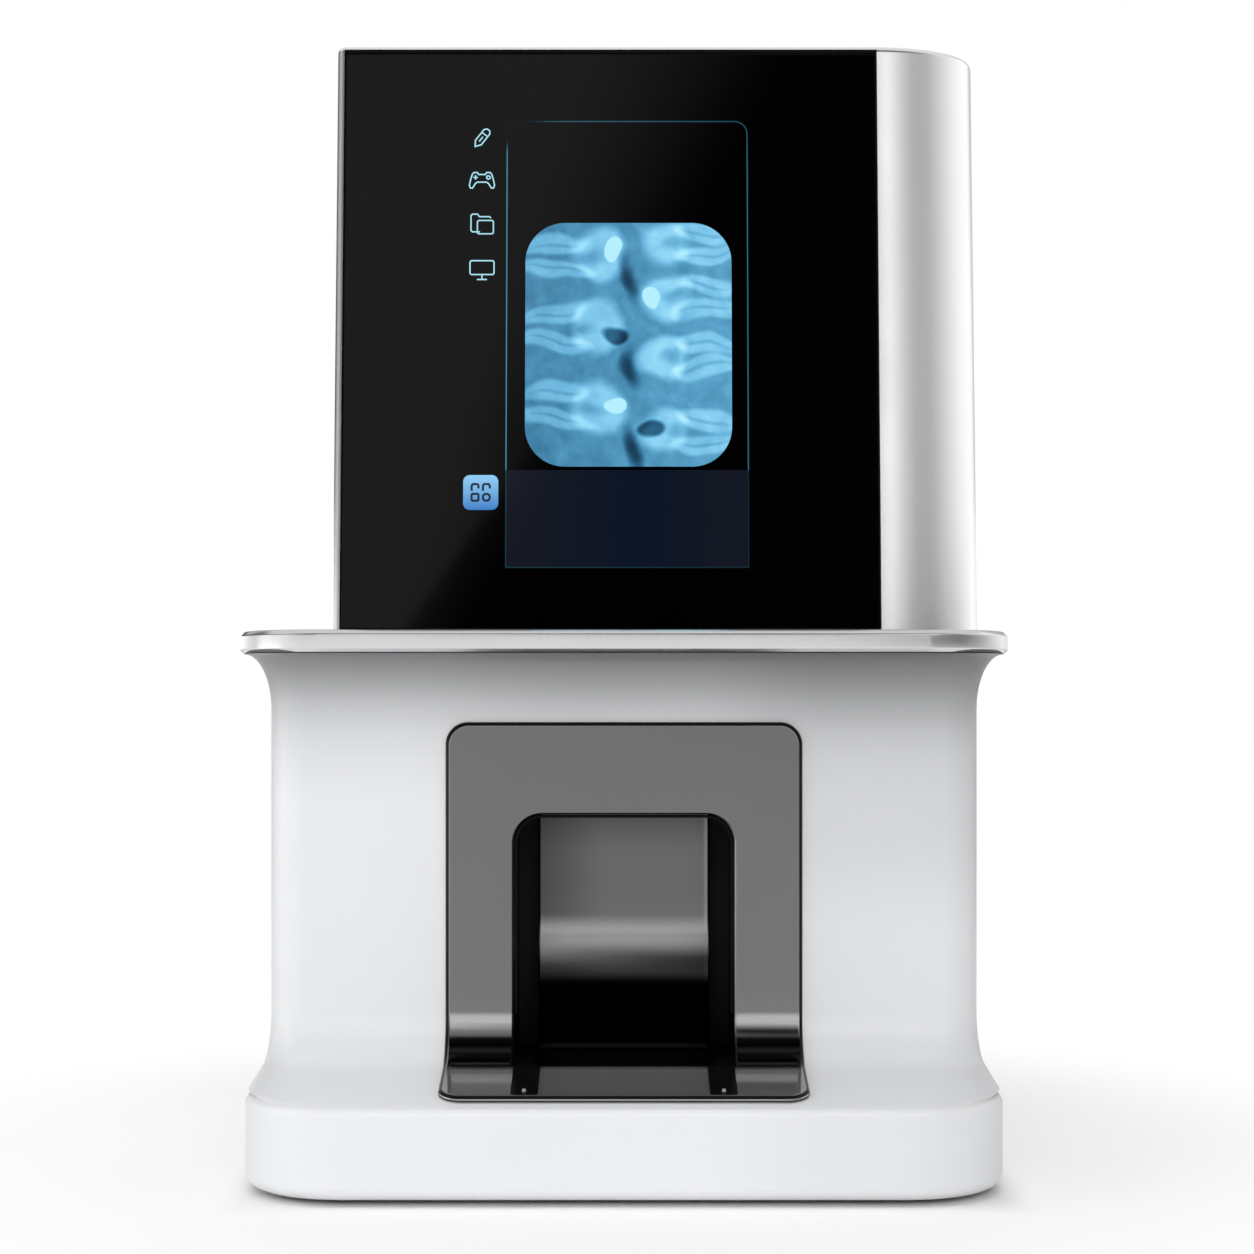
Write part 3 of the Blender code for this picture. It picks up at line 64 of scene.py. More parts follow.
lens = bpy.data.cameras.new("studio_camera")
lens.sensor_width = SENSOR_WIDTH
lens.lens = FOCAL_PIXELS * SENSOR_WIDTH / PHOTO_SIDE
lens.shift_x = (PHOTO_SIDE / 2 - AHEAD_COLUMN) / PHOTO_SIDE
lens.shift_y = (AHEAD_ROW - PHOTO_SIDE / 2) / PHOTO_SIDE
camera = set_up("studio_camera", lens)
camera.location = CAMERA_PLACE
camera.rotation_euler = (math.radians(90), 0, 0)
bpy.context.scene.camera = camera
bpy.context.scene.view_settings.view_transform = "Standard"


# The room is a white paper floor under soft boxes. Rays that come straight from the lens, or by way
# of gloss or glass, see plain white; all others see the dim grey of the room. Near the object the
# floor is half bare paper, which takes its shadow.
ROOM_GREY = 0.14
FLOOR_REACH = 6.0
PAPER_TONE = 0.95
PAPER_SHARE = 0.42
UNDER_OBJECT = 0.120
UNDER_EDGE = 0.016
SHADOW_REACH = (0.15, 0.32)


def feed(made, sockets):
    """Sets a node's sockets to values, or links them to other nodes' outputs."""
    for key, value in sockets.items():
        if isinstance(value, bpy.types.NodeSocket):
            made.id_data.links.new(value, made.inputs[key])
        else:
            made.inputs[key].default_value = value


def node(tree, kind, sockets=None, **settings):
    """A shader node with its settings and its sockets."""
    made = tree.nodes.new("ShaderNode" + kind)
    for key, value in settings.items():
        setattr(made, key, value)
    feed(made, sockets or {})
    return made


def reckon(how, *values):
    """The result of a sum on up to three values, the first of which is another node's output."""
    return node(values[0].id_data, "Math", dict(enumerate(values)), operation=how).outputs[0]


def product(first, second):
    return reckon("MULTIPLY", first, second)


def reach(value, low, high, first=0.0, second=1.0, course="SMOOTHSTEP"):
    """A step from first to second as a value goes from low to high."""
    step = {"Value": value, "From Min": low, "From Max": high, "To Min": first, "To Max": second}
    return node(value.id_data, "MapRange", step, interpolation_type=course).outputs[0]


def spot_on(tree):
    """Where a point lies on its piece: across, deep and up."""
    return node(tree, "SeparateXYZ", {0: node(tree, "TexCoord").outputs["Object"]}).outputs


def lens_rays(tree):
    """1 for rays that the lens, gloss or glass sends out, 0 for the light that falls on things."""
    rays = node(tree, "LightPath").outputs
    either = reckon("MAXIMUM", rays["Is Camera Ray"], rays["Is Glossy Ray"])
    return reckon("MAXIMUM", either, rays["Is Transmission Ray"])


def empty_tree(owner):
    """The node tree of a new world or material, with nothing in it."""
    owner.use_nodes = True
    owner.node_tree.nodes.clear()
    return owner.node_tree


def grey(level):
    return (level, level, level, 1)


room = bpy.data.worlds.new("studio_room")
bpy.context.scene.world = room
room_tree = empty_tree(room)
dim = node(room_tree, "Background", {"Color": grey(1), "Strength": ROOM_GREY})
white = node(room_tree, "Background", {"Color": grey(1), "Strength": 1.0})
room_mix = node(room_tree, "MixShader", {0: lens_rays(room_tree), 1: dim.outputs[0], 2: white.outputs[0]})
node(room_tree, "OutputWorld", {"Surface": room_mix.outputs[0]})

paper = bpy.data.materials.new("floor_paper")
paper_tree = empty_tree(paper)
place = node(paper_tree, "TexCoord").outputs["Object"]
distance = node(paper_tree, "VectorMath", {0: place}, operation="LENGTH").outputs["Value"]
fade = reach(distance, *SHADOW_REACH, 1 - PAPER_SHARE)
aside, along, _ = [reckon("ABSOLUTE", way) for way in spot_on(paper_tree)]
clear_of_object = reach(reckon("MAXIMUM", aside, along), UNDER_OBJECT, UNDER_OBJECT + UNDER_EDGE)
glow_share = product(product(fade, clear_of_object), lens_rays(paper_tree))
bare = node(paper_tree, "BsdfDiffuse", {"Color": grey(PAPER_TONE)})
glow = node(paper_tree, "Emission", {"Strength": 1.0})
paper_mix = node(paper_tree, "MixShader", {0: glow_share, 1: bare.outputs[0], 2: glow.outputs[0]})
node(paper_tree, "OutputMaterial", {"Surface": paper_mix.outputs[0]})


def built_mesh(name, bm):
    """The mesh that a bmesh holds, which is then done with."""
    mesh = bpy.data.meshes.new(name)
    bm.to_mesh(mesh)
    bm.free()
    return mesh


floor_bm = bmesh.new()
bmesh.ops.create_grid(floor_bm, x_segments=8, y_segments=8, size=FLOOR_REACH)
floor_mesh = built_mesh("studio_floor", floor_bm)
floor_mesh.materials.append(paper)
set_up("studio_floor", floor_mesh)


def soft_box(name, place, target, across, along, power):
    """A soft box that lights the object but doesn't show itself to the lens."""
    lamp = bpy.data.lights.new(name, "AREA")
    lamp.shape = "RECTANGLE"
    lamp.size = across
    lamp.size_y = along
    lamp.energy = power
    box = set_up(name, lamp)
    box.location = place
    box.rotation_euler = (Vector(target) - Vector(place)).to_track_quat("-Z", "Y").to_euler()
    box.visible_camera = False
    box.visible_glossy = False


soft_box("front_light", (0, -1.7, 0.75), (0, -0.05, 0.15), 1.4, 0.6, 15.4)
soft_box("left_light", (-1.6, -0.5, 0.8), (0, -0.02, 0.15), 1.0, 1.0, 8.6)
soft_box("right_light", (1.6, -0.5, 0.8), (0, -0.02, 0.15), 1.0, 1.0, 3.0)
soft_box("sky_light", (-0.10, -0.15, 1.75), (0, 0, 0), 1.2, 1.0, 10.5)
soft_box("rear_light", (0, 1.7, 0.75), (0, 0.05, 0.15), 1.2, 0.6, 9.0)


# What the gloss shows is a drum of cloth round the set, lit in bands: pale low down, greyer at the
# height of the shelf, and above that black in front, so that the glass stays black with its slanting
# sheen. Only glossy rays meet the drum; it throws no light and hides nothing from the lens. Each list
# gives a direction in degrees from the front, to the right above 0, and the cloth's level there. A
# slant is a place across at height 0 and its shift with each metre of height, in the order shift, place.
DRUM_RADIUS = 1.05
DRUM_TOP = 1.35
DRUM_SIDES = 96
DRUM_FULL = 3.0
LOW_BANDS = (
    (-180, 0.35), (-130, 0.5), (-96, 1.2), (-88, 2.6), (-66, 2.6), (-54, 1.1), (-20, 1.0), (20, 1.0),
    (60, 1.0), (90, 0.9), (130, 0.5), (180, 0.35),
)
SHELF_BANDS = (
    (-180, 0.9), (-140, 1.5), (-115, 1.1), (-98, 0.85), (-84, 1.35), (-56, 1.15), (-38, 0.95), (-12, 0.98),
    (10, 0.95), (15, 0.10), (54, 0.08), (76, 0.42), (100, 0.95), (122, 1.25), (150, 0.9), (180, 0.9),
)
TOWER_BANDS = (
    (-180, 0.03), (-120, 0.02), (-100, 0.16), (-80, 0.38), (-56, 0.46), (-42, 0.30), (-30, 0.03),
    (-17, 0.0), (-13, 0.92), (11.6, 0.92), (13, 1.5), (18, 1.25), (27, 0.78), (38, 0.42), (54, 0.44),
    (70, 0.76), (92, 1.08), (124, 1.25), (145, 0.6), (164, 0.12), (180, 0.03),
)
SHELF_BAND_HEIGHTS = (0.14, 0.17)
TOWER_BAND_HEIGHTS = (0.315, 0.335)
SOFT_EDGE_SLANT = (0.264, -0.2875)
SOFT_EDGE_WIDTH = (0.30, -0.04)
CRISP_EDGE_SLANT = (0.646, -0.411)
CRISP_EDGE_STEP = (-0.003, 0.006)
CRISP_HEIGHTS = (0.42, 0.58)
CRISP_SHARE = 0.55
FRONT_END = (math.radians(11.2), math.radians(12.2))
BACK_DEPTHS = (0.55, 0.85)
BACK_HEIGHTS = (0.45, 0.62)
BACK_LEVEL = 0.55
CEILING_HEIGHTS = (1.0, 1.3)
CEILING_DEPTHS = (-0.55, -0.25)
CEILING_FRONT_LEVEL = 0.05
CEILING_LEVEL = 0.80


def ramp(share, stops, course="LINEAR"):
    """Colours over a value from 0 to 1; each stop is a place and its grey level or colour."""
    made = node(share.id_data, "ValToRGB", {"Fac": share})
    made.color_ramp.interpolation = course
    marks = made.color_ramp.elements
    marks.remove(marks[1])
    for i, (place, tone) in enumerate(stops):
        mark = marks.new(place) if i else marks[0]
        mark.position = place
        mark.color = grey(tone) if isinstance(tone, float) else (*tone, 1)
    return made.outputs["Color"]


def between(share, first, second):
    """A colour that goes from first to second with the share."""
    return node(share.id_data, "Mix", {0: share, 6: first, 7: second}, data_type="RGBA").outputs[2]


cloth = bpy.data.materials.new("drum_cloth")
cloth_tree = empty_tree(cloth)
cloth_x, cloth_y, cloth_z = spot_on(cloth_tree)
azimuth = reckon("ARCTAN2", cloth_x, product(cloth_y, -1.0))
cloth_turn = reach(azimuth, -math.pi, math.pi, course="LINEAR")
low_level, shelf_level, tower_level = [
    ramp(cloth_turn, [(degrees / 360 + 0.5, level / DRUM_FULL) for degrees, level in bands])
    for bands in (LOW_BANDS, SHELF_BANDS, TOWER_BANDS)
]
# The black cloth starts at a slanting edge that grows softer with height; low down part of the step
# is crisp and leans more.
edge_start = reckon("MULTIPLY_ADD", cloth_z, *SOFT_EDGE_SLANT)
edge_width = reckon("MULTIPLY_ADD", cloth_z, *SOFT_EDGE_WIDTH)
soft_step = reach(reckon("DIVIDE", reckon("SUBTRACT", cloth_x, edge_start), edge_width), 0.0, 1.0)
crisp_line = reckon("MULTIPLY_ADD", cloth_z, *CRISP_EDGE_SLANT)
crisp_step = reach(reckon("SUBTRACT", cloth_x, crisp_line), *CRISP_EDGE_STEP)
crisp_share = reach(cloth_z, *CRISP_HEIGHTS, CRISP_SHARE, 0.0)
black_step = node(cloth_tree, "Mix", {0: crisp_share, 2: soft_step, 3: crisp_step}, data_type="FLOAT")
black_share = product(black_step.outputs[0], reach(azimuth, *FRONT_END, 1.0, 0.0))
tower_level = between(black_share, tower_level, grey(0))
cloth_level = between(reach(cloth_z, *SHELF_BAND_HEIGHTS), low_level, shelf_level)
cloth_level = between(reach(cloth_z, *TOWER_BAND_HEIGHTS), cloth_level, tower_level)
# High up at the back the cloth is paler, so that the flat tops of tower and shelf aren't black.
at_back = product(reach(cloth_y, *BACK_DEPTHS), reach(cloth_z, *BACK_HEIGHTS))
cloth_level = between(at_back, cloth_level, grey(BACK_LEVEL / DRUM_FULL))
# The ceiling is black over the front, which the curl of the bezel shows, and pale over the rest.
ceiling = reach(cloth_y, *CEILING_DEPTHS, CEILING_FRONT_LEVEL / DRUM_FULL, CEILING_LEVEL / DRUM_FULL)
cloth_level = between(reach(cloth_z, *CEILING_HEIGHTS), cloth_level, ceiling)
cloth_glow = node(cloth_tree, "Emission", {"Color": cloth_level, "Strength": DRUM_FULL})
node(cloth_tree, "OutputMaterial", {"Surface": cloth_glow.outputs[0]})

drum_bm = bmesh.new()
bmesh.ops.create_cone(
    drum_bm, cap_ends=True, segments=DRUM_SIDES, radius1=DRUM_RADIUS, radius2=DRUM_RADIUS, depth=DRUM_TOP,
    matrix=Matrix.Translation((0, 0, DRUM_TOP / 2)),
)
drum_floor = [face for face in drum_bm.faces if all(vert.co.z < DRUM_TOP / 2 for vert in face.verts)]
bmesh.ops.delete(drum_bm, geom=drum_floor, context="FACES")
drum_mesh = built_mesh("reflection_drum", drum_bm)
drum_mesh.materials.append(cloth)
drum = set_up("reflection_drum", drum_mesh)
for ray in ("camera", "diffuse", "transmission", "volume_scatter", "shadow"):
    setattr(drum, "visible_" + ray, False)


# White housing: the low base, the sloping deck and the body are one thick-walled moulding in satin
# white plastic. It is open below for the bottom plate, in front for the recess and behind for the
# rear cover, and its top edge flares out to carry the shelf.
housing_low, housing_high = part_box("main_housing")
BASE_HALF = 0.1265
BASE_CORNER = 0.035
BASE_BOTTOM_ROUND = 0.004
BASE_EDGE_HEIGHT = 0.0318
BASE_EDGE_ROUND = 0.0025
BASE_FRONT = housing_low.y
BASE_BACK = housing_high.y
HOUSING_FOOT = housing_low.z
DECK_RISE = 0.0106
DECK_FLAT_SHARE = 0.69
CURL_RISE = 0.0142
FLARE_OUT = 0.0092
FLARE_HEIGHT = 0.0187
BODY_HALF = housing_high.x - FLARE_OUT
BODY_TOP = housing_high.z
BODY_SETBACK = 0.0445
BODY_BACK_INSET = 0.012
BODY_CORNER = 0.013
BODY_FRONT = BASE_FRONT + BODY_SETBACK
BODY_BACK = BASE_BACK - BODY_BACK_INSET
HOUSING_WALL = 0.003
GAP = 0.0003
OVERRUN = 0.004
COVER_MARGIN = 0.006
SHARP_ANGLE = math.radians(32)
MIDDLE_ACROSS = (-0.08, -0.01)
MIDDLE_HEIGHTS = (0.145, 0.165)
RIGHT_ACROSS = (0.02, 0.07)
RIGHT_HEIGHTS = (0.080, 0.125)
SHADE_LEVELS = (
    (0.0300, 1.0), (0.0325, 0.88), (0.0440, 0.89), (0.0560, 0.965), (0.1280, 0.965), (0.1423, 0.90),
    (0.1519, 0.81), (0.1585, 0.69), (0.1631, 0.59), (0.1665, 0.49), (0.1699, 0.41), (0.1733, 0.335),
    (0.1760, 0.30), (0.1789, 0.31),
)


def arc(centre, across, along, start, end, steps):
    """Points on part of an ellipse, from one angle in degrees to another."""
    turns = [math.radians(start + (end - start) * i / steps) for i in range(steps + 1)]
    return [(centre[0] + across * math.cos(t), centre[1] + along * math.sin(t)) for t in turns]


def rounded_plan(left, right, front, back, corner, steps=14):
    """A rectangle with round corners, anticlockwise from the front right one."""
    points = []
    for x, y, start in (
        (right - corner, front + corner, -90), (right - corner, back - corner, 0),
        (left + corner, back - corner, 90), (left + corner, front + corner, 180),
    ):
        points += arc((x, y), corner, corner, start, start + 90, steps)
    return points


def quarter(steps):
    """Sine and cosine at even steps through a quarter turn."""
    turns = [math.radians(90 * i / steps) for i in range(steps + 1)]
    return [(math.sin(t), math.cos(t)) for t in turns]


def level_ring(plan, height):
    return [(x, y, height) for x, y in plan]


def rolled(ring, steps, out, up, top):
    """Rings round a rolled edge; ring takes how far it is drawn in and its height."""
    return [ring(out * (1 - cosine), top - up * (1 - sine)) for sine, cosine in quarter(steps)]


def skin(rings, endless=False):
    """A closed mesh through rings of points; endless joins the last ring to the first one."""
    count = len(rings[0])
    points = [point for ring in rings for point in ring]
    faces = []
    for level in range(len(rings) - 1 + endless):
        here = level * count
        there = (level + 1) % len(rings) * count
        for i in range(count):
            j = (i + 1) % count
            faces.append((here + i, here + j, there + j, there + i))
    if not endless:
        faces.append(tuple(reversed(range(count))))
        last = (len(rings) - 1) * count
        faces.append(tuple(range(last, last + count)))
    return points, faces


def closed_mesh(name, shape):
    """A mesh from a shape's points and faces, with every face turned outward."""
    mesh = bpy.data.meshes.new(name)
    mesh.from_pydata(shape[0], [], shape[1])
    bm = bmesh.new()
    bm.from_mesh(mesh)
    bmesh.ops.recalc_face_normals(bm, faces=bm.faces)
    bm.to_mesh(mesh)
    bm.free()
    return mesh


def smooth(mesh, sharp=SHARP_ANGLE):
    """Shades a mesh smooth, but for its sharp edges."""
    mesh.shade_smooth()
    mesh.set_sharp_from_angle(angle=sharp)


def even_shading(piece):
    """Lets the wide faces rule the shading of the round edges between them."""
    even = piece.modifiers.new("even_shading", "WEIGHTED_NORMAL")
    even.keep_sharp = True


def soften(piece, width, steps=2):
    """Breaks every sharp edge, as a tool or a file does."""
    bevel = piece.modifiers.new("broken_edges", "BEVEL")
    bevel.width = width
    bevel.segments = steps
    bevel.limit_method = "ANGLE"
    bevel.angle_limit = SHARP_ANGLE
    bevel.miter_outer = "MITER_ARC"
    bevel.harden_normals = False
    even_shading(piece)


def make_piece(name, shape, stock, stands_for=(), body="housing", edge=0.0, edge_steps=2):
    """A shaded piece from points and faces, with soft edges, hung on its body; hides what it stands for."""
    piece = set_up(name, closed_mesh(name, shape))
    smooth(piece.data)
    piece.data.materials.append(stock)
    if edge:
        soften(piece, edge, edge_steps)
    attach(piece, body)
    if stands_for:
        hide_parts(*stands_for)
    return piece


def cut_away(piece, *shapes):
    """Cuts closed shapes out of a piece for good, as openings of the moulding or the machine."""
    for shape in shapes:
        cutter = set_up("cutter", closed_mesh("cutter", shape))
        boolean = piece.modifiers.new("cut", "BOOLEAN")
        boolean.operation = "DIFFERENCE"
        boolean.solver = "EXACT"
        boolean.object = cutter
        bpy.context.view_layer.update()
        graph = bpy.context.evaluated_depsgraph_get()
        done = bpy.data.meshes.new_from_object(piece.evaluated_get(graph))
        piece.modifiers.remove(boolean)
        used = (piece.data, cutter.data)
        name = piece.data.name
        piece.data = done
        bpy.data.objects.remove(cutter, do_unlink=True)
        for mesh in used:
            bpy.data.meshes.remove(mesh)
        done.name = name
        smooth(done)


def middle_of(node_name):
    """The middle of a node's box in the frame."""
    low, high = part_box(node_name)
    return (low + high) / 2


def block(low, high):
    """A box from its low corner to its high one."""
    plan = [(high[0], low[1]), (high[0], high[1]), (low[0], high[1]), (low[0], low[1])]
    return skin([level_ring(plan, low[2]), level_ring(plan, high[2])])


def new_stock(name):
    """A material with its tree and its Principled shader."""
    made = bpy.data.materials.new(name)
    made.use_nodes = True
    return made, made.node_tree, made.node_tree.nodes["Principled BSDF"]


def drift(tree, scale, low=0.0, high=1.0, streak=None):
    """A value that wanders between two others over the surface; streak draws it out one way."""
    spot = node(tree, "TexCoord").outputs["Object"]
    if streak:
        spot = node(tree, "Mapping", {"Vector": spot, "Scale": streak}).outputs[0]
    noise = node(tree, "TexNoise", {"Vector": spot, "Scale": scale, "Detail": 3.0})
    return reach(noise.outputs["Fac"], 0.3, 0.7, low, high, course="LINEAR")


def cloudy(tree, scale, first, second, streak=None):
    """A colour that wanders between two tones over the surface."""
    return ramp(drift(tree, scale, streak=streak), ((0.0, first), (1.0, second)))


def grain_on(shader, scale, depth, strength=1.0, streak=None):
    """Fine relief in the finish, depth in metres."""
    height = drift(shader.id_data, scale, streak=streak)
    relief = node(shader.id_data, "Bump", {"Strength": strength, "Distance": depth, "Height": height})
    feed(shader, {"Normal": relief.outputs[0]})


def finished(name, tones, cloud, roughness, swing, haze, grain, depth, streak=None, metal=0.0, gloss=0.5):
    """A stock whose tone and roughness drift a little, with a fine grain over it."""
    made, tree, shader = new_stock(name)
    feed(shader, {
        "Base Color": cloudy(tree, cloud, *tones, streak),
        "Roughness": drift(tree, haze, roughness * (1 - swing), roughness * (1 + swing), streak),
        "Metallic": metal,
        "Specular IOR Level": gloss,
    })
    grain_on(shader, grain, depth, streak=streak)
    return made


def moulded_plastic(name, tone, roughness, grain=1400.0, depth=0.00001, spread=0.03, gloss=0.5):
    """Moulded plastic: an even tone under the fine grain of the tool's surface."""
    tones = [tuple(min(1.0, c * (1 + way * spread)) for c in tone) for way in (-1, 1)]
    return finished(
        name, tones, cloud=9.0, roughness=roughness, swing=0.1, haze=30.0, grain=grain, depth=depth,
        gloss=gloss
    )


def deck_height(share):
    """Height of the moulding between the base's edge (0) and the body's wall (1)."""
    height = BASE_EDGE_HEIGHT + DECK_RISE * share
    if share > DECK_FLAT_SHARE:
        curl = (share - DECK_FLAT_SHARE) / (1 - DECK_FLAT_SHARE)
        height += CURL_RISE * (1 - math.sqrt(max(0.0, 1 - curl * curl)))
    return height


def housing_plan(share, inset=0.0):
    """Plan of the moulding, from the base's edge (0) to the body's wall (1)."""
    half = BASE_HALF + (BODY_HALF - BASE_HALF) * share - inset
    front = BASE_FRONT + BODY_SETBACK * share + inset
    back = BASE_BACK - BODY_BACK_INSET * share - inset
    corner = BASE_CORNER + (BODY_CORNER - BASE_CORNER) * share - inset
    return rounded_plan(-half, half, front, back, corner)


def base_ring(inset, height):
    return level_ring(housing_plan(0, inset), height)


def body_ring(inset, height):
    return level_ring(housing_plan(1, inset), height)


housing_rings = rolled(base_ring, 6, BASE_BOTTOM_ROUND, -BASE_BOTTOM_ROUND, HOUSING_FOOT)[::-1]
housing_rings += rolled(base_ring, 6, BASE_EDGE_ROUND, BASE_EDGE_ROUND, BASE_EDGE_HEIGHT)
deck_shares = [0.12, 0.3, 0.5, DECK_FLAT_SHARE]
deck_shares += [DECK_FLAT_SHARE + (1 - DECK_FLAT_SHARE) * sine for sine, _ in quarter(10)[1:]]
for share in deck_shares:
    housing_rings.append(level_ring(housing_plan(share), deck_height(share)))
housing_rings += rolled(body_ring, 10, -FLARE_OUT, FLARE_HEIGHT, BODY_TOP)
under_deck = BASE_EDGE_HEIGHT - HOUSING_WALL - BASE_EDGE_ROUND
curl_foot = deck_height(DECK_FLAT_SHARE)
for share, height in (
    (1, BODY_TOP), (1, curl_foot), (DECK_FLAT_SHARE, curl_foot - HOUSING_WALL), (0, under_deck),
    (0, HOUSING_FOOT),
):
    housing_rings.append(level_ring(housing_plan(share, HOUSING_WALL), height))

satin_white, shaded_white = [
    moulded_plastic(name, (0.838, 0.846, 0.862), 0.34, spread=0.012)
    for name in ("satin_white", "shaded_white")
]
# The shaded stock carries painted shade: its tone is darker on the deck and under the shelf, and more so in
# the middle and at the right, where the shade falls. The levels above are heights and the tone's share
# there.
white_tree = shaded_white.node_tree
white_shader = white_tree.nodes["Principled BSDF"]
white_x, _, white_z = spot_on(white_tree)
shade_foot, shade_top = SHADE_LEVELS[0][0], SHADE_LEVELS[-1][0]
shade_fall = ramp(
    reach(white_z, shade_foot, shade_top, course="LINEAR"),
    [((height - shade_foot) / (shade_top - shade_foot), level) for height, level in SHADE_LEVELS],
)
white_tone = node(
    white_tree, "Mix", {0: 1.0, 6: white_shader.inputs["Base Color"].links[0].from_socket, 7: shade_fall},
    data_type="RGBA", blend_type="MULTIPLY",
).outputs[2]
middle_shade = product(reach(white_x, *MIDDLE_ACROSS, 0.0, 0.12), reach(white_z, *MIDDLE_HEIGHTS))
right_shade = product(reach(white_x, *RIGHT_ACROSS), reach(white_z, *RIGHT_HEIGHTS, 0.06, 0.18))
for shade in (middle_shade, right_shade):
    white_tone = between(shade, white_tone, grey(0))
feed(white_shader, {"Base Color": white_tone})

housing = make_piece(
    "housing_moulding", skin(housing_rings, endless=True), shaded_white, ["main_housing"]
)
liner_low, liner_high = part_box("recess_liner")
cover_low, cover_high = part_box("rear_cover")
recess_window = block(
    (liner_low.x - GAP, liner_low.y - GAP, liner_low.z - GAP),
    (liner_high.x + GAP, BODY_FRONT + HOUSING_WALL + OVERRUN, liner_high.z + GAP),
)
rear_window = block(
    (cover_low.x + COVER_MARGIN, BODY_BACK - HOUSING_WALL - OVERRUN, cover_low.z + COVER_MARGIN),
    (cover_high.x - COVER_MARGIN, BODY_BACK + OVERRUN, cover_high.z - COVER_MARGIN),
)
cut_away(housing, recess_window, rear_window)
even_shading(housing)


# Feet: four turned rubber pads that the whole weight stands on, pushed on the bottom plate from below.
FOOT_EDGE = 0.0006


def turned(profile, sides=40):
    """A shape turned on a lathe: profile is radius and height, from the foot up."""
    turns = [2 * math.pi * i / sides for i in range(sides)]
    return skin([[(r * math.cos(t), r * math.sin(t), height) for t in turns] for r, height in profile])


def laid_along(shape, base, axis=(0, 0, 1)):
    """A shape drawn upright at the origin, turned to an axis and moved to its place."""
    turn = Vector((0, 0, 1)).rotation_difference(Vector(axis)).to_matrix()
    return [tuple(Vector(base) + turn @ Vector(point)) for point in shape[0]], shape[1]


soft_rubber = moulded_plastic("soft_rubber", (0.022, 0.022, 0.023), 0.75, grain=2600.0, depth=0.00004)
for foot in ("foot_front_left", "foot_front_right", "foot_rear_left", "foot_rear_right"):
    foot_low, foot_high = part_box(foot)
    foot_radius = (foot_high.x - foot_low.x) / 2
    foot_profile = [
        (foot_radius - FOOT_EDGE, 0), (foot_radius - FOOT_EDGE / 3, FOOT_EDGE / 3), (foot_radius, FOOT_EDGE),
        (foot_radius, foot_high.z - foot_low.z),
    ]
    foot_middle = middle_of(foot)
    foot_shape = laid_along(turned(foot_profile), (foot_middle.x, foot_middle.y, foot_low.z))
    make_piece(foot + "_pad", foot_shape, soft_rubber, [foot])


# Bottom plate and chassis plate: sheet steel, cut and brushed. They are kept as the frame has them,
# with their edges broken and the rolling marks of the sheet in the finish.


def rolled_metal(name, tone, roughness, streak=(1.0, 24.0, 24.0)):
    """Bare metal with long fine marks one way, which also spread its gloss."""
    return finished(
        name, (tuple(c * 0.9 for c in tone), tone), cloud=60.0, roughness=roughness, swing=0.15, haze=60.0,
        grain=120.0, depth=0.000006, streak=streak, metal=1.0
    )


def dress(name, stock, edge=0.0002):
    """Keeps a node of the frame, gives it its finish and breaks its edges."""
    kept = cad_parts[name]
    kept.data.materials.clear()
    kept.data.materials.append(stock)
    weld = kept.modifiers.new("joined_faces", "WELD")
    weld.merge_threshold = 0.00001
    soften(kept, edge)


sheet_steel = rolled_metal("sheet_steel", (0.56, 0.565, 0.575), 0.34)
for plate in ("bottom_plate", "chassis_plate", "guide_bracket_lower", "guide_bracket_upper", "optics_bench"):
    dress(plate, sheet_steel)


# Shelf: a thick plate of satin silver metal between body and tower, its long edges milled off top
# and bottom so that a bright line runs along its rim. A slot lets the chassis plate through.
shelf_low, shelf_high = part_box("shelf")
SHELF_CORNER = 0.031
SHELF_TOP_CHAMFER = 0.0016
SHELF_FOOT_CHAMFER = 0.0012
SHELF_SLOT_HALF = 0.045
SHELF_SLOT_FRONT = -0.0447
SHELF_SLOT_BACK = -0.0109


def satin_metal(name, tone, roughness, diffuse_share=0.0):
    """Blasted and anodised metal: an even satin with a trace of cloud in its gloss."""
    return finished(
        name, (tuple(c * 0.97 for c in tone), tone), cloud=14.0, roughness=roughness, swing=0.07, haze=40.0,
        grain=2200.0, depth=0.000006, metal=1.0 - diffuse_share
    )


def shelf_ring(inset, height):
    plan = rounded_plan(
        shelf_low.x + inset, shelf_high.x - inset, shelf_low.y + inset, shelf_high.y - inset,
        SHELF_CORNER - inset, 20
    )
    return level_ring(plan, height)


satin_silver = satin_metal("satin_silver", (0.88, 0.88, 0.89), 0.24, 0.06)
foot_cut, top_cut = SHELF_FOOT_CHAMFER, SHELF_TOP_CHAMFER
shelf_rings = [
    shelf_ring(foot_cut, shelf_low.z),
    shelf_ring(foot_cut * 0.12, shelf_low.z + foot_cut * 0.85),
    shelf_ring(0, shelf_low.z + foot_cut * 1.15),
    shelf_ring(0, shelf_high.z - top_cut * 1.15),
    shelf_ring(top_cut * 0.12, shelf_high.z - top_cut * 0.85),
    shelf_ring(top_cut * 0.88, shelf_high.z - top_cut * 0.1),
    shelf_ring(top_cut * 1.3, shelf_high.z),
]
shelf_silver = satin_metal("shelf_silver", (0.70, 0.70, 0.71), 0.18, 0.10)
underside_black = moulded_plastic("underside_black", (0.050, 0.050, 0.052), 0.6)
shelf = make_piece("shelf_plate", skin(shelf_rings), shelf_silver, ["shelf"])
shelf_slot = block(
    (-SHELF_SLOT_HALF, SHELF_SLOT_FRONT, shelf_low.z - OVERRUN),
    (SHELF_SLOT_HALF, SHELF_SLOT_BACK, shelf_high.z + OVERRUN),
)
cut_away(shelf, shelf_slot)
# The faces that look straight down are near black.
shelf.data.materials.append(underside_black)
for face in shelf.data.polygons:
    if face.normal.z < -0.9:
        face.material_index = 1
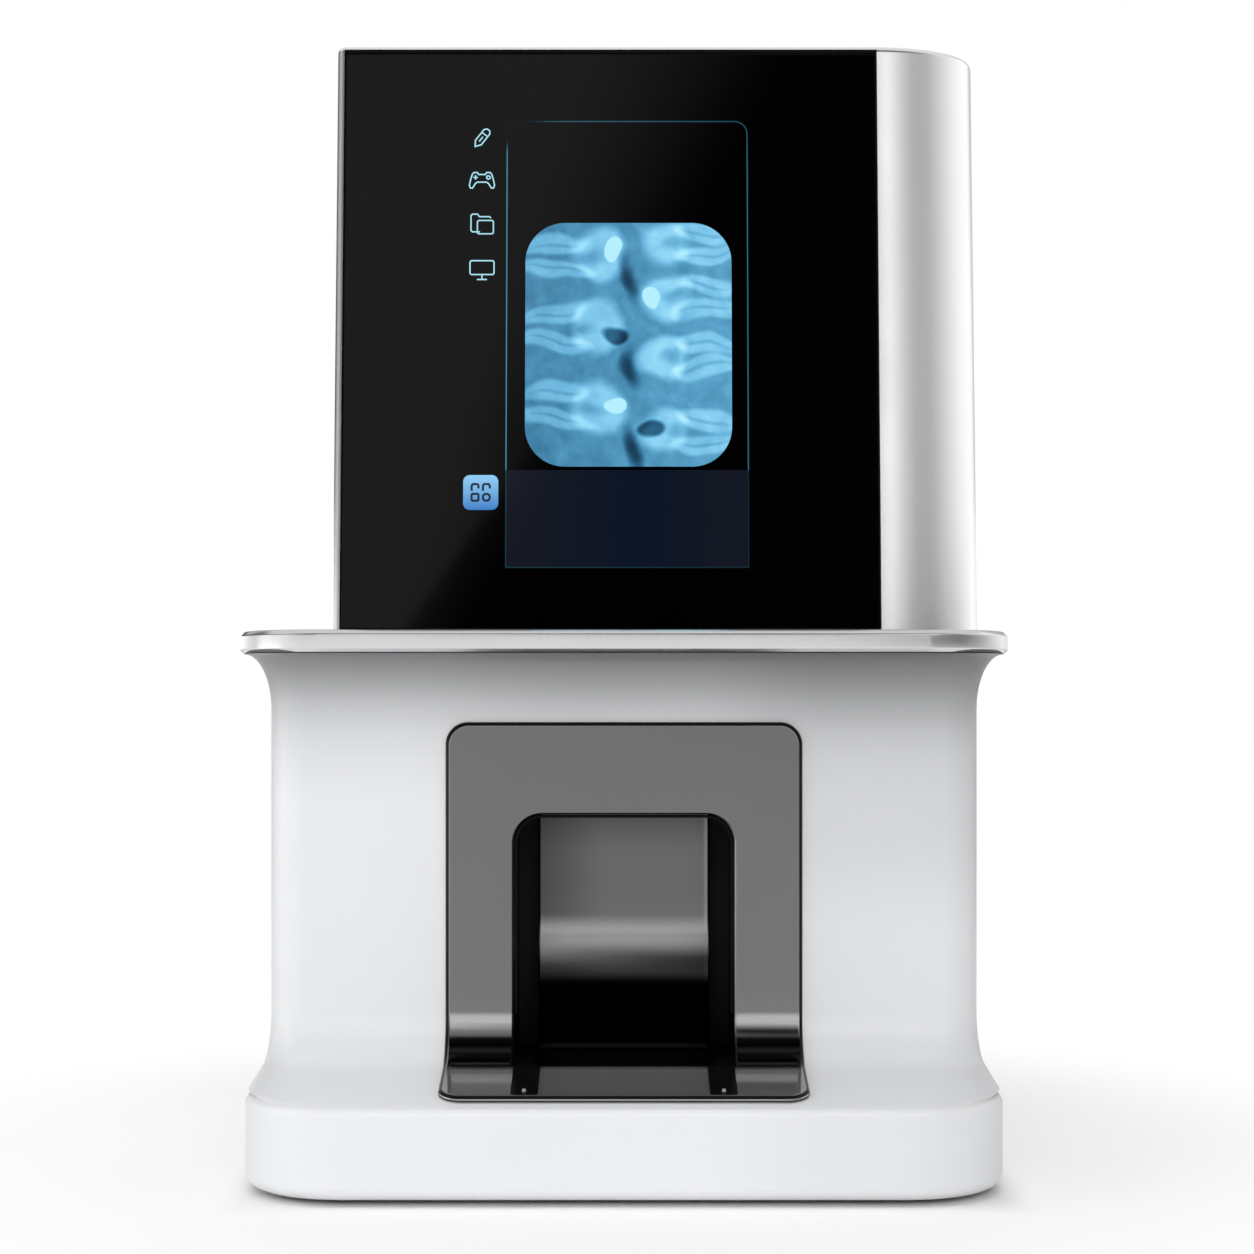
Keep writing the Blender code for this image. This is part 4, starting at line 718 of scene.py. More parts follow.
even_shading(shelf)


# Tower cover: a deep drawn shell in the same satin silver. Its front leans back, its right front
# corner is a wide sweep, and a slim lip frames the black front at the left and along the top.
tower_low, tower_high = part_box("tower_cover")
TOWER_LEAN = math.radians(4.4)
TOWER_CORNER_LEFT = 0.0026
TOWER_CORNER_REAR = 0.014
TOWER_SWEEP_WIDTH = 0.0365
TOWER_SWEEP_DEPTH = 0.026
TOWER_TOP_ROUND = 0.0025
TOWER_WALL = 0.0026
TOWER_TOP_LIP = 0.0013
CARRIER_DEPTH = 0.009
carrier_low, carrier_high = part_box("screen_carrier")
glass_low, glass_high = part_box("front_glass")


def tower_front(height):
    """Depth of the tower's leaning front at a height."""
    return tower_low.y + (height - tower_low.z) * math.tan(TOWER_LEAN)


def tower_plan(height, inset):
    """Plan of the shell: a tight front corner at the left, the wide sweep at the right."""
    left, right = tower_low.x + inset, tower_high.x - inset
    front, back = tower_front(height) + inset, tower_high.y - inset
    rear, near = TOWER_CORNER_REAR - inset, max(TOWER_CORNER_LEFT - inset, GAP)
    across, along = TOWER_SWEEP_WIDTH - inset, TOWER_SWEEP_DEPTH - inset / 2
    points = arc((right - across, front + along), across, along, -90, 0, 26)
    points += arc((right - rear, back - rear), rear, rear, 0, 90, 12)
    points += arc((left + rear, back - rear), rear, rear, 90, 180, 12)
    points += arc((left + near, front + near), near, near, 180, 270, 6)
    return points


def tower_ring(inset, height):
    return level_ring(tower_plan(height, inset), height)


tower_rings = [tower_ring(0, tower_low.z)]
tower_rings += rolled(tower_ring, 6, TOWER_TOP_ROUND, TOWER_TOP_ROUND, tower_high.z)
tower = make_piece("tower_shell", skin(tower_rings), satin_silver, ["tower_cover"])
inside_heights = (tower_low.z - OVERRUN, tower_high.z - TOWER_WALL)
tower_inside = skin([tower_ring(TOWER_WALL, height) for height in inside_heights])


def drawn_across(side, left, right):
    """A side view as depths and heights, drawn out from left to right."""
    return skin([[(x, y, z) for y, z in side] for x in (left, right)])


def leaning_slab(left, right, low, high, near, far):
    """A slab that leans with the tower's front; near and far are depths behind that front."""
    foot, top = tower_front(low), tower_front(high)
    side = [(foot + near, low), (foot + far, low), (top + far, high), (top + near, high)]
    return drawn_across(side, left, right)


mouth = leaning_slab(
    carrier_low.x - GAP, carrier_high.x + GAP, tower_low.z - OVERRUN, tower_high.z - TOWER_TOP_LIP,
    -OVERRUN, CARRIER_DEPTH + GAP
)
cut_away(tower, tower_inside, mouth)
even_shading(tower)


# Black front: one sheet of glass, back-printed black, lies on a black carrier frame whose edge shows
# as a dark band above it. The glass carries no frame of its own: its edges are only ground smooth.
GLASS_THICKNESS = 0.003
GLASS_EDGE = 0.0005
GLASS_GLOSS = 0.16
black_glass, glass_tree, glass_shader = new_stock("black_glass")
feed(glass_shader, {
    "Base Color": cloudy(glass_tree, 12.0, (0.0004, 0.0004, 0.0005), (0.0008, 0.0008, 0.0009)),
    "Roughness": drift(glass_tree, 60.0, 0.035, 0.05),
    "Specular IOR Level": GLASS_GLOSS,
})
grain_on(glass_shader, 18.0, 0.00001, 0.3)
glass_shape = leaning_slab(glass_low.x, glass_high.x, glass_low.z, glass_high.z, 0, GLASS_THICKNESS)
make_piece(
    "glass_sheet", glass_shape, black_glass, ["front_glass"], edge=GLASS_EDGE, edge_steps=3
)

frame_black = moulded_plastic("frame_black", (0.003, 0.003, 0.003), 0.5, spread=0.1, gloss=0.08)
carrier_top = tower_high.z - TOWER_TOP_LIP - GAP
carrier_shape = leaning_slab(
    carrier_low.x, carrier_high.x, carrier_low.z, carrier_top, GLASS_THICKNESS + GAP, CARRIER_DEPTH
)
carrier = make_piece("carrier_frame", carrier_shape, frame_black, ["screen_carrier"])
display_low, display_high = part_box("display_module")
cut_away(carrier, leaning_slab(
    display_low.x - GAP, display_high.x + GAP, display_low.z - GAP, display_high.z + GAP, 0,
    CARRIER_DEPTH + OVERRUN
))
lip_shape = leaning_slab(
    carrier_low.x, carrier_high.x, glass_high.z + GAP, carrier_top, GAP * 2, GLASS_THICKNESS
)
make_piece("carrier_lip", lip_shape, frame_black, edge=0.0002)


# Lit screen: the panel behind the glass shows a fine teal outline, a radiograph with round corners
# and a dark blue bar at its foot. Each is a thin lit layer on the glass, placed where the photograph
# has it. The radiograph is made up: two rows of teeth lying on their sides, drawn as soft shadows.
LAYER = 0.00005
OUTLINE_WIDTH = 0.00038
OUTLINE_CORNER = 0.0046
FOOT_CORNER = 0.0006
FILM_CORNER = 0.0138
TOP_FADE = (-0.016, 0.001)
BAR_FADE = 0.0006
CORNER_FADE = (0.006, 0.022)
CORNER_DROP = (-0.011, -0.007)
BAR_GLOW_ASIDE = 0.004
# Columns and rows of the photograph.
SCREEN_UPPER_LEFT = (506.8, 121)
SCREEN_LOWER_RIGHT = (749.4, 568)
BAR_TOP_MIDDLE = (620, 470)
FILM_UPPER_LEFT = (525.6, 223)
FILM_LOWER_RIGHT = (732.2, 466.6)


def on_front(x, height, lift):
    """A point on the leaning front, lifted off it squarely."""
    out = Vector((0, -math.cos(TOWER_LEAN), math.sin(TOWER_LEAN))) * lift
    return tuple(Vector((x, tower_front(height), height)) + out)


def front_spot(column, row):
    """Where the front lies under a pixel of the photograph, as x and height."""
    aside = (column - AHEAD_COLUMN) / FOCAL_PIXELS
    up = (AHEAD_ROW - row) / FOCAL_PIXELS
    lean = math.tan(TOWER_LEAN)
    start = tower_front(CAMERA_PLACE.z) - CAMERA_PLACE.y
    depth = start / (1 - lean * up)
    return aside * depth, CAMERA_PLACE.z + up * depth


def thin_layer(outline, low=0.0, high=LAYER, hole=None):
    """A thin solid on the glass in the shape of an outline, or of the band between it and a hole."""
    if hole is None:
        return skin([[on_front(x, z, lift) for x, z in outline] for lift in (low, high)])
    edges = ((outline, low), (outline, high), (hole, high), (hole, low))
    return skin([[on_front(x, z, lift) for x, z in edge] for edge, lift in edges], endless=True)


def lit_stock(name):
    """A lit layer under glass: it glows by itself and keeps the gloss of the sheet over it."""
    made, tree, shader = new_stock(name)
    feed(shader, {"Base Color": grey(0.002), "Roughness": 0.08, "Specular IOR Level": GLASS_GLOSS})
    feed(shader, {"Emission Strength": 1.0})
    return made, tree, shader


screen_left, screen_top = front_spot(*SCREEN_UPPER_LEFT)
screen_right, screen_foot = front_spot(*SCREEN_LOWER_RIGHT)
bar_top = front_spot(*BAR_TOP_MIDDLE)[1]


def screen_plan(inset):
    """The lit panel's outline, round at its upper corners."""
    left, right = screen_left + inset, screen_right - inset
    foot, top = screen_foot + inset, screen_top - inset
    wide, tight = OUTLINE_CORNER - inset, FOOT_CORNER
    points = arc((right - tight, foot + tight), tight, tight, -90, 0, 8)
    points += arc((right - wide, top - wide), wide, wide, 0, 90, 8)
    points += arc((left + wide, top - wide), wide, wide, 90, 180, 8)
    points += arc((left + tight, foot + tight), tight, tight, 180, 270, 8)
    return points


outline_teal, teal_tree, teal_shader = lit_stock("outline_teal")
teal_x, _, teal_z = spot_on(teal_tree)
teal_share = product(
    reach(teal_x, screen_left, screen_right, 1.0, 0.55, course="LINEAR"),
    reach(teal_z, *[screen_top + shift for shift in TOP_FADE], 1.0, 0.42, course="LINEAR"),
)
teal_share = product(teal_share, reach(teal_z, bar_top - BAR_FADE, bar_top + BAR_FADE, 0.16))
# The line fades out round the upper left corner.
corner_mark = screen_left - screen_top
past_corner = reach(reckon("SUBTRACT", teal_x, teal_z), *[corner_mark + shift for shift in CORNER_FADE])
below_corner = reach(teal_z, *[screen_top + shift for shift in CORNER_DROP], 1.0, 0.0)
teal_share = product(teal_share, reckon("MAXIMUM", past_corner, below_corner))
teal_tone = ramp(teal_share, ((0.0, (0.0, 0.001, 0.0015)), (1.0, (0.045, 0.26, 0.36))))
feed(teal_shader, {"Emission Color": teal_tone})
outline_shape = thin_layer(screen_plan(0), hole=screen_plan(OUTLINE_WIDTH))
make_piece("screen_outline", outline_shape, outline_teal)

bar_blue, bar_tree, bar_shader = lit_stock("bar_blue")
bar_bright = (screen_left + screen_right) / 2 + BAR_GLOW_ASIDE
bar_far = reckon("ABSOLUTE", reckon("SUBTRACT", spot_on(bar_tree)[0], bar_bright))
bar_fall = reach(bar_far, 0.0, (screen_right - screen_left) / 2)
bar_tone = ramp(bar_fall, ((0.0, (0.0022, 0.0062, 0.0180)), (1.0, (0.0055, 0.0075, 0.0145))))
feed(bar_shader, {"Emission Color": bar_tone})
bar_left, bar_right = screen_left + OUTLINE_WIDTH, screen_right - OUTLINE_WIDTH
bar_foot = screen_foot + OUTLINE_WIDTH
bar_plan = [(bar_left, bar_foot), (bar_right, bar_foot), (bar_right, bar_top), (bar_left, bar_top)]
make_piece("screen_foot_bar", thin_layer(bar_plan, high=LAYER * 0.6), bar_blue)

film_left, film_top = front_spot(*FILM_UPPER_LEFT)
film_right, film_foot = front_spot(*FILM_LOWER_RIGHT)
film_half = (film_right - film_left) / 2
film_middle = film_left + film_half
film_line = (film_foot + film_top) / 2
radiograph, film_tree, film_shader = lit_stock("radiograph")
film_x, _, film_z = spot_on(film_tree)
film_across = reckon("MULTIPLY_ADD", film_x, 1 / film_half, -film_middle / film_half)
film_up = reckon("MULTIPLY_ADD", film_z, 1 / film_half, -film_line / film_half)
film_flat = node(film_tree, "CombineXYZ", {0: film_across, 1: film_up}).outputs[0]
waver = node(film_tree, "TexNoise", {"Vector": film_flat, "Scale": 2.2, "Detail": 0.5}).outputs["Color"]
shift = node(film_tree, "VectorMath", {0: waver, 1: (0.5, 0.5, 0.5)}, operation="SUBTRACT").outputs[0]
film_place = node(
    film_tree, "VectorMath", {0: shift, 1: (0.30, 0.26, 0.0), 2: film_flat}, operation="MULTIPLY_ADD"
).outputs[0]


def film_shadow(across, up, wide, tall, tilt, softness):
    """A soft oval on the film: 1 inside, falling to 0 at its edge."""
    seat = {"Vector": film_place, "Location": (across, up, 0), "Rotation": (0, 0, math.radians(tilt))}
    fitted = node(film_tree, "Mapping", {**seat, "Scale": (wide, tall, 1)}, vector_type="TEXTURE").outputs[0]
    oval = node(film_tree, "TexGradient", {"Vector": fitted}, gradient_type="SPHERICAL").outputs["Fac"]
    return reach(oval, 0.0, softness)


# Each shadow on the film has a weight, which is below 0 where it darkens, and then its oval. Teeth of
# the left row lie with their roots to the left, those of the right row the other way.
shadows = []
for side, middle, tall, heights in (
    (-1, -0.30, 0.33, (0.86, 0.16, -0.60)), (1, 0.36, 0.27, (1.02, 0.46, -0.12, -0.84)),
):
    for number, up in enumerate(heights):
        shadows.append((0.30, middle, up, 0.31 - 0.03 * (number % 2), tall, 4 * side, 0.45))
        for fork in (-1, 1):
            lean = -7 * side * fork
            shadows.append((0.22, middle + side * 0.42, up + fork * tall * 0.42, 0.42, 0.125, lean, 0.4))
            shadows.append((-0.12, middle + side * 0.40, up + fork * tall * 0.40, 0.34, 0.028, lean, 0.8))
        shadows.append((-0.20, middle + side * 0.10, up, 0.20, 0.11, 0, 0.9))
for across, up in ((0.02, 0.62), (0.05, -0.22), (0.03, -1.0)):
    shadows.append((-0.42, across, up, 0.13, 0.30, 12, 0.9))
for across, up, wide, tall in (
    (-0.17, 0.90, 0.11, 0.10), (0.24, 0.45, 0.09, 0.12), (-0.16, -0.56, 0.12, 0.09),
):
    shadows.append((0.36, across, up, wide, tall, 20, 0.25))
for across, up in ((-0.13, 0.10), (0.21, -0.82)):
    shadows.append((-0.55, across, up, 0.13, 0.10, -15, 0.5))
bone_grain = node(
    film_tree, "TexNoise", {"Vector": film_place, "Scale": 5.0, "Detail": 4.0, "Roughness": 0.55}
).outputs["Fac"]
film_value = reach(film_across, -1.1, 1.1, 0.40, 0.55, course="LINEAR")
film_value = reckon("MULTIPLY_ADD", reckon("SUBTRACT", bone_grain, 0.5), 0.34, film_value)
for weight, *oval in shadows:
    film_value = reckon("MULTIPLY_ADD", film_shadow(*oval), weight, film_value)
film_tone = ramp(film_value, (
    (0.02, (0.006, 0.030, 0.064)), (0.25, (0.020, 0.110, 0.215)), (0.45, (0.062, 0.265, 0.455)),
    (0.66, (0.150, 0.470, 0.730)), (0.84, (0.285, 0.700, 0.970)), (1.0, (0.50, 0.90, 1.0)),
), "B_SPLINE")
feed(film_shader, {"Emission Color": film_tone})
film_plan = rounded_plan(film_left, film_right, film_foot, film_top, FILM_CORNER, 16)
make_piece("screen_radiograph", thin_layer(film_plan, high=LAYER * 0.8), radiograph)
dress("display_module", frame_black)


# Touch keys: four line drawings and a blue menu key, printed on the back of the glass and lit from
# behind. They don't travel. Each drawing is cut as a flat ribbon of light, in pixels of the
# photograph from its middle.
ICON_LINE = 0.00045
GLYPH_LINE = 0.00078
PHOTO_STEP = 0.000348
PENCIL_SLOPE = math.radians(52)
ICON_COLUMN = 482
EDIT_ROW = 138
CAPTURE_ROW = 180
PATIENTS_ROW = 224
MONITOR_ROW = 270
MENU_SPOT = (480.7, 492.5)
MENU_HALF = 17.4 * PHOTO_STEP
MENU_CORNER = 0.0023
GLYPH_HALF = 3.4 * PHOTO_STEP
GLYPH_ASIDE = 5.6 * PHOTO_STEP
GLYPH_UP = 5.0 * PHOTO_STEP
GLYPH_DOWN = 4.8 * PHOTO_STEP


def ribbon(points, width=ICON_LINE, closed=False, lift=0.0):
    """A flat line of even width along points on the front."""
    count = len(points)
    sides = []
    for i in range(count):
        before = Vector(points[(i - 1) % count] if closed or i else points[0])
        after = Vector(points[(i + 1) % count] if closed or i < count - 1 else points[-1])
        here = Vector(points[i])
        into = (here - before).normalized() if (here - before).length else (after - here).normalized()
        out = (after - here).normalized() if (after - here).length else into
        across = Vector((-(into.y + out.y), into.x + out.x)).normalized()
        spread = width / 2 / max(0.5, across.dot(Vector((-out.y, out.x))))
        sides.append((here + across * spread, here - across * spread))
    if closed:
        return thin_layer([s[1] for s in sides], lift, lift + LAYER, [s[0] for s in sides])
    return thin_layer([s[0] for s in sides] + [s[1] for s in reversed(sides)], lift, lift + LAYER)


def joined(shapes):
    """Several shapes as one set of points and faces."""
    points, faces = [], []
    for shape_points, shape_faces in shapes:
        faces += [tuple(i + len(points) for i in face) for face in shape_faces]
        points += shape_points
    return points, faces


icon_cyan, icon_tree, icon_shader = lit_stock("icon_cyan")
feed(icon_shader, {"Emission Color": cloudy(icon_tree, 120.0, (0.38, 0.76, 0.88), (0.46, 0.84, 0.94))})


def icon(name, row, lines):
    """A lit drawing at a row of the photograph; each line has its points and whether it closes."""
    x, z = front_spot(ICON_COLUMN, row)
    shapes = []
    for points, closed in lines:
        shapes.append(ribbon([(x + u * PHOTO_STEP, z + v * PHOTO_STEP) for u, v in points], closed=closed))
    make_piece(name, joined(shapes), icon_cyan)


def sloping(points):
    """Points of the pencil, turned from lying flat to its slope."""
    cosine, sine = math.cos(PENCIL_SLOPE), math.sin(PENCIL_SLOPE)
    return [(u * cosine - v * sine, u * sine + v * cosine) for u, v in points]


pencil_shell = [(-11, 0), (-6, -3.7), (8, -3.7), (10.5, -1.6), (10.5, 1.6), (8, 3.7), (-6, 3.7)]
pad_half = [(0, 5.6), (3.4, 5.6), (4.6, 7.6), (8.2, 7.6), (9.8, 5.6), (11.6, -0.6), (12.6, -5.4)]
pad_half += [(11.6, -8.2), (9.4, -8.2), (6.6, -3.6), (4.6, -2.2)]
folder_back = [(-2, -8), (-9.5, -8), (-11, -6.5), (-11, 8.5), (-9.5, 10), (-4.5, 10)]
folder_back += [(-2.5, 7.4), (7.5, 7.4), (9, 6)]
icon("key_edit", EDIT_ROW, [
    (sloping(pencil_shell), True), (sloping([(4.5, -3.7), (4.5, 3.7)]), False),
    (sloping([(-4.5, 0), (1.5, 0)]), False),
])
icon("key_capture", CAPTURE_ROW, [
    (pad_half + [(-u, v) for u, v in reversed(pad_half[1:])], True), ([(-8.6, 2.6), (-4.2, 2.6)], False),
    ([(-6.4, 4.8), (-6.4, 0.4)], False), (arc((6.4, 2.6), 1.7, 1.7, 0, 330, 11), True),
])
folder_front = rounded_plan(-4.6, 11.4, -10, 3.6, 1.8, 3)
icon("key_patients", PATIENTS_ROW, [(folder_back, False), (folder_front, True)])
icon("key_monitor", MONITOR_ROW, [
    (rounded_plan(-12, 12, -4.6, 9.4, 1.8, 3), True), ([(0, -4.6), (0, -9.4)], False),
    ([(-5, -9.6), (5, -9.6)], False),
])

menu_x, menu_z = front_spot(*MENU_SPOT)
menu_low, menu_high = menu_z - MENU_HALF, menu_z + MENU_HALF
menu_blue, menu_tree, menu_shader = lit_stock("menu_blue")
menu_rise = reach(spot_on(menu_tree)[2], menu_low, menu_high, course="LINEAR")
menu_tone = ramp(menu_rise, ((0.0, (0.045, 0.215, 0.57)), (1.0, (0.28, 0.62, 0.92))))
feed(menu_shader, {"Emission Color": menu_tone})
menu_plan = rounded_plan(menu_x - MENU_HALF, menu_x + MENU_HALF, menu_low, menu_high, MENU_CORNER, 8)
make_piece("key_menu", thin_layer(menu_plan), menu_blue)
glyph_ink, ink_tree, ink_shader = new_stock("glyph_ink")
ink_tone = cloudy(ink_tree, 300.0, (0.002, 0.008, 0.030), (0.004, 0.012, 0.040))
feed(ink_shader, {"Base Color": ink_tone, "Roughness": 0.3})
glyphs = []
for side, corner in ((-1, GLYPH_HALF * 0.35), (1, GLYPH_HALF * 0.9)):
    x, z = menu_x + side * GLYPH_ASIDE, menu_z + GLYPH_UP
    shoulder, bow = GLYPH_HALF * 0.4, GLYPH_HALF * 0.6
    arch = [(x - GLYPH_HALF, z - GLYPH_HALF), (x - GLYPH_HALF, z + shoulder)]
    arch += arc((x - shoulder, z + shoulder), bow, bow, 150, 90, 3)
    arch += arc((x + shoulder, z + shoulder), bow, bow, 90, 30, 3)
    arch += [(x + GLYPH_HALF, z + shoulder), (x + GLYPH_HALF, z - GLYPH_HALF * 0.3)]
    low, high = menu_z - GLYPH_DOWN - GLYPH_HALF, menu_z - GLYPH_DOWN + GLYPH_HALF
    ring = rounded_plan(x - GLYPH_HALF, x + GLYPH_HALF, low, high, corner, 5)
    glyphs += [ribbon(arch, GLYPH_LINE, lift=LAYER), ribbon(ring, GLYPH_LINE, True, LAYER)]
make_piece("key_menu_marks", joined(glyphs), glyph_ink)


# Bezel: the dark frame round the recess is one pressing of black chromed sheet. It lies on the body's
# front, follows the curl at the foot and runs out over the deck as the tray, with a rolled edge. It
# is drawn flat, with its opening and two gutters, and then bent to the housing.
bezel_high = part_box("recess_bezel")[1]
BEZEL_THICKNESS = 0.0018
BEZEL_CORNER = 0.0076
BEZEL_ROLL = 0.0016
OPENING_HALF = 0.0375
OPENING_TOP = 0.1244
OPENING_CORNER = 0.0098
GUTTER_NEAR = 0.0278
GUTTER_FAR = 0.0368
GUTTER_DEPTH = 0.0011
GUTTER_MARGIN = 0.0018
GUTTER_CORNER = 0.0012
TRAY_FRONT = -0.1202
OPENING_FRONT = BASE_FRONT + BODY_SETBACK * DECK_FLAT_SHARE
BEZEL_SHARP = math.radians(40)
EDGE_BREAK = 0.0005
NEAR = 0.0001
SAME_PLANE = 0.0000001
FACE_UP = 0.998
EDGE_UP = 0.95
LINE_UP = 0.45
STEEP = 0.3
RIM_UP = 0.12
SLIGHT = 0.02
CURL_TOP = deck_height(1)
TRAY_TOP = deck_height(DECK_FLAT_SHARE)
LACQUER_END = (TRAY_TOP + 0.0010, TRAY_TOP + 0.0022)
PAINTED_SHADE_END = (TRAY_TOP + 0.0075, TRAY_TOP + 0.0130)
PAINTED_SHEEN_FOOT = (CURL_TOP - 0.0058, CURL_TOP - 0.0028)
PAINTED_SHEEN_TOP = (CURL_TOP - 0.0010, CURL_TOP + 0.0012)
PAINTED_SHEEN_TONE = (0.48, 0.48, 0.49, 1)

bend_line = [(BODY_FRONT, bezel_high.z)]
for sine, _ in quarter(30)[::-1]:
    share = DECK_FLAT_SHARE + (1 - DECK_FLAT_SHARE) * sine
    bend_line.append((BASE_FRONT + BODY_SETBACK * share, deck_height(share)))
bend_line.append((TRAY_FRONT, deck_height((TRAY_FRONT - BASE_FRONT) / BODY_SETBACK)))
bend_marks = [0.0]
for before, after in zip(bend_line, bend_line[1:]):
    bend_marks.append(bend_marks[-1] + math.dist(before, after))


def bend_normal(i):
    """Outward direction at a point of the bend line."""
    last = len(bend_line) - 1
    before, after = bend_line[max(i - 1, 0)], bend_line[min(i + 1, last)]
    if i == 1:
        before, after = bend_line[1], (bend_line[1][0], bend_line[1][1] - 1)
    if i == last - 1:
        before, after = bend_line[i], bend_line[last]
    run = math.dist(before, after)
    return (after[1] - before[1]) / run, -(after[0] - before[0]) / run


def bent(x, run, lift):
    """A point of the flat drawing, run down from its top edge, laid on the housing."""
    i = 1
    while i < len(bend_marks) - 1 and bend_marks[i] < run:
        i += 1
    share = (run - bend_marks[i - 1]) / (bend_marks[i] - bend_marks[i - 1])
    y, z = [a + (b - a) * share for a, b in zip(bend_line[i - 1], bend_line[i])]
    out_y, out_z = [a + (b - a) * share for a, b in zip(bend_normal(max(i - 1, 1)), bend_normal(i))]
    size = math.hypot(out_y, out_z)
    return x, y + out_y / size * lift, z + out_z / size * lift


bezel_half = bezel_high.x
bezel_run = bend_marks[-1]
bezel_top = GAP + BEZEL_THICKNESS
opening_run = bezel_high.z - OPENING_TOP
front_run = next(m for m, spot in zip(bend_marks, bend_line) if spot[0] <= OPENING_FRONT + NEAR / 10)


def flat_ring(inset, lift):
    corner = BEZEL_CORNER - inset * 0.8
    plan = rounded_plan(inset - bezel_half, bezel_half - inset, inset, bezel_run - inset, corner)
    return level_ring(plan, lift)


def flat_prism(plan, low):
    """A cutter in the flat drawing, from a depth to above the sheet."""
    return skin([level_ring(plan, low), level_ring(plan, bezel_top + OVERRUN)])


bezel_rings = [flat_ring(0, GAP)] + rolled(flat_ring, 6, BEZEL_ROLL, BEZEL_ROLL, bezel_top)
bezel = make_piece("bezel_pressing", skin(bezel_rings), satin_white, ["recess_bezel"])
opening_plan = []
for side, start in ((1, 0), (-1, -90)):
    centre = (side * (OPENING_HALF - OPENING_CORNER), opening_run + OPENING_CORNER)
    opening_plan += arc(centre, OPENING_CORNER, OPENING_CORNER, start, start - 90, 12)
opening_plan += [(-OPENING_HALF, front_run), (OPENING_HALF, front_run)]
gutters = []
for side in (-1, 1):
    near, far = sorted((side * GUTTER_NEAR, side * GUTTER_FAR))
    plan = rounded_plan(near, far, front_run + GAP * 2, bezel_run - GUTTER_MARGIN, GUTTER_CORNER, 4)
    gutters.append(flat_prism(plan, bezel_top - GUTTER_DEPTH))
cut_away(bezel, flat_prism(opening_plan, GAP - OVERRUN), *gutters)


def on_opening(point, margin=NEAR):
    """Whether a point of the flat drawing lies at the opening."""
    return abs(point.x) < OPENING_HALF + margin and opening_run - margin < point.y < front_run + margin


bezel_bm = bmesh.new()
bezel_bm.from_mesh(bezel.data)
bezel_bm.normal_update()
opening_edges = [
    edge for edge in bezel_bm.edges
    if all(on_opening(vert.co) and abs(vert.co.z - bezel_top) < NEAR for vert in edge.verts)
]
bmesh.ops.bevel(bezel_bm, geom=opening_edges, offset=EDGE_BREAK, segments=1, profile=0.5, affect="EDGES")
bezel_bm.normal_update()
for mark in bend_marks[1:-1]:
    bmesh.ops.bisect_plane(
        bezel_bm, geom=bezel_bm.verts[:] + bezel_bm.edges[:] + bezel_bm.faces[:],
        plane_co=(0, mark, 0), plane_no=(0, 1, 0), dist=SAME_PLANE
    )
bezel_bm.normal_update()
# Each face's finish, by how far it faces up and aside: 0 the lacquered face, 1 the rim, painted black as a
# shade line round the pressing, and the gutters' black floors, 2 a painted highlight on the edges that face
# the left and the front, and 3 a painted highlight line along the front edge.
finishes = []
for face in bezel_bm.faces:
    centre, facing = face.calc_center_median(), face.normal
    in_gutter = GUTTER_NEAR < abs(centre.x) < GUTTER_FAR and centre.y > front_run and centre.z > GAP * 2
    at_opening = on_opening(centre, EDGE_BREAK * 2)
    if at_opening and STEEP < facing.z < EDGE_UP and facing.x < -STEEP:
        finish = 2
    elif not at_opening and EDGE_UP <= facing.z < FACE_UP and min(facing.x, facing.y) < -SLIGHT:
        finish = 2
    elif not at_opening and STEEP < facing.z < LINE_UP and facing.y > STEEP:
        finish = 3
    elif RIM_UP < facing.z < EDGE_UP or in_gutter and centre.z < bezel_top - GAP / 2:
        finish = 1
    else:
        finish = 0
    finishes.append(finish)
for vert in bezel_bm.verts:
    vert.co = bent(*vert.co)
bmesh.ops.recalc_face_normals(bezel_bm, faces=bezel_bm.faces)
bezel_bm.to_mesh(bezel.data)
bezel_bm.free()
smooth(bezel.data, BEZEL_SHARP)

black_chrome, chrome_tree, chrome_shader = new_stock("black_chrome")
chrome_z = spot_on(chrome_tree)[2]
# Painted light in the tone: painted shade, near black, at the foot of the curl, and a pale painted highlight
# band just below the curl's top.
on_curl, above_painted_shade = reach(chrome_z, *LACQUER_END), reach(chrome_z, *PAINTED_SHADE_END)
on_painted_sheen = product(reach(chrome_z, *PAINTED_SHEEN_FOOT), reach(chrome_z, *PAINTED_SHEEN_TOP, 1.0, 0.0))
tray_tone = cloudy(chrome_tree, 14.0, (0.096, 0.096, 0.098), (0.104, 0.104, 0.106))
face_tone = cloudy(chrome_tree, 10.0, (0.180, 0.181, 0.185), (0.192, 0.193, 0.197))
face_tone = between(on_painted_sheen, between(above_painted_shade, grey(0.016), face_tone), PAINTED_SHEEN_TONE)
feed(chrome_shader, {
    "Base Color": between(on_curl, tray_tone, face_tone),
    "Metallic": product(reckon("MULTIPLY_ADD", on_painted_sheen, -0.85, 1.0), on_curl),
    "Roughness": reach(chrome_z, CURL_TOP, CURL_TOP + 0.008, 0.11, 0.28),
    "Coat Weight": reach(chrome_z, *LACQUER_END, 1.0, 0.0),
    "Coat Roughness": 0.03,
    "Coat IOR": 1.9,
})
grain_on(chrome_shader, 2400.0, 0.000004)
bezel.data.materials.clear()
for stock in (
    black_chrome,
    moulded_plastic("rim_shade_and_gutter_black", (0.004, 0.004, 0.0045), 0.20, depth=0.000002, gloss=0.14),
    satin_metal("painted_highlight_edge", (0.27, 0.27, 0.275), 0.3),
    satin_metal("painted_highlight_line", (0.46, 0.46, 0.465), 0.3),
):
    bezel.data.materials.append(stock)
for face, finish in zip(bezel.data.polygons, finishes):
    face.material_index = finish
even_shading(bezel)


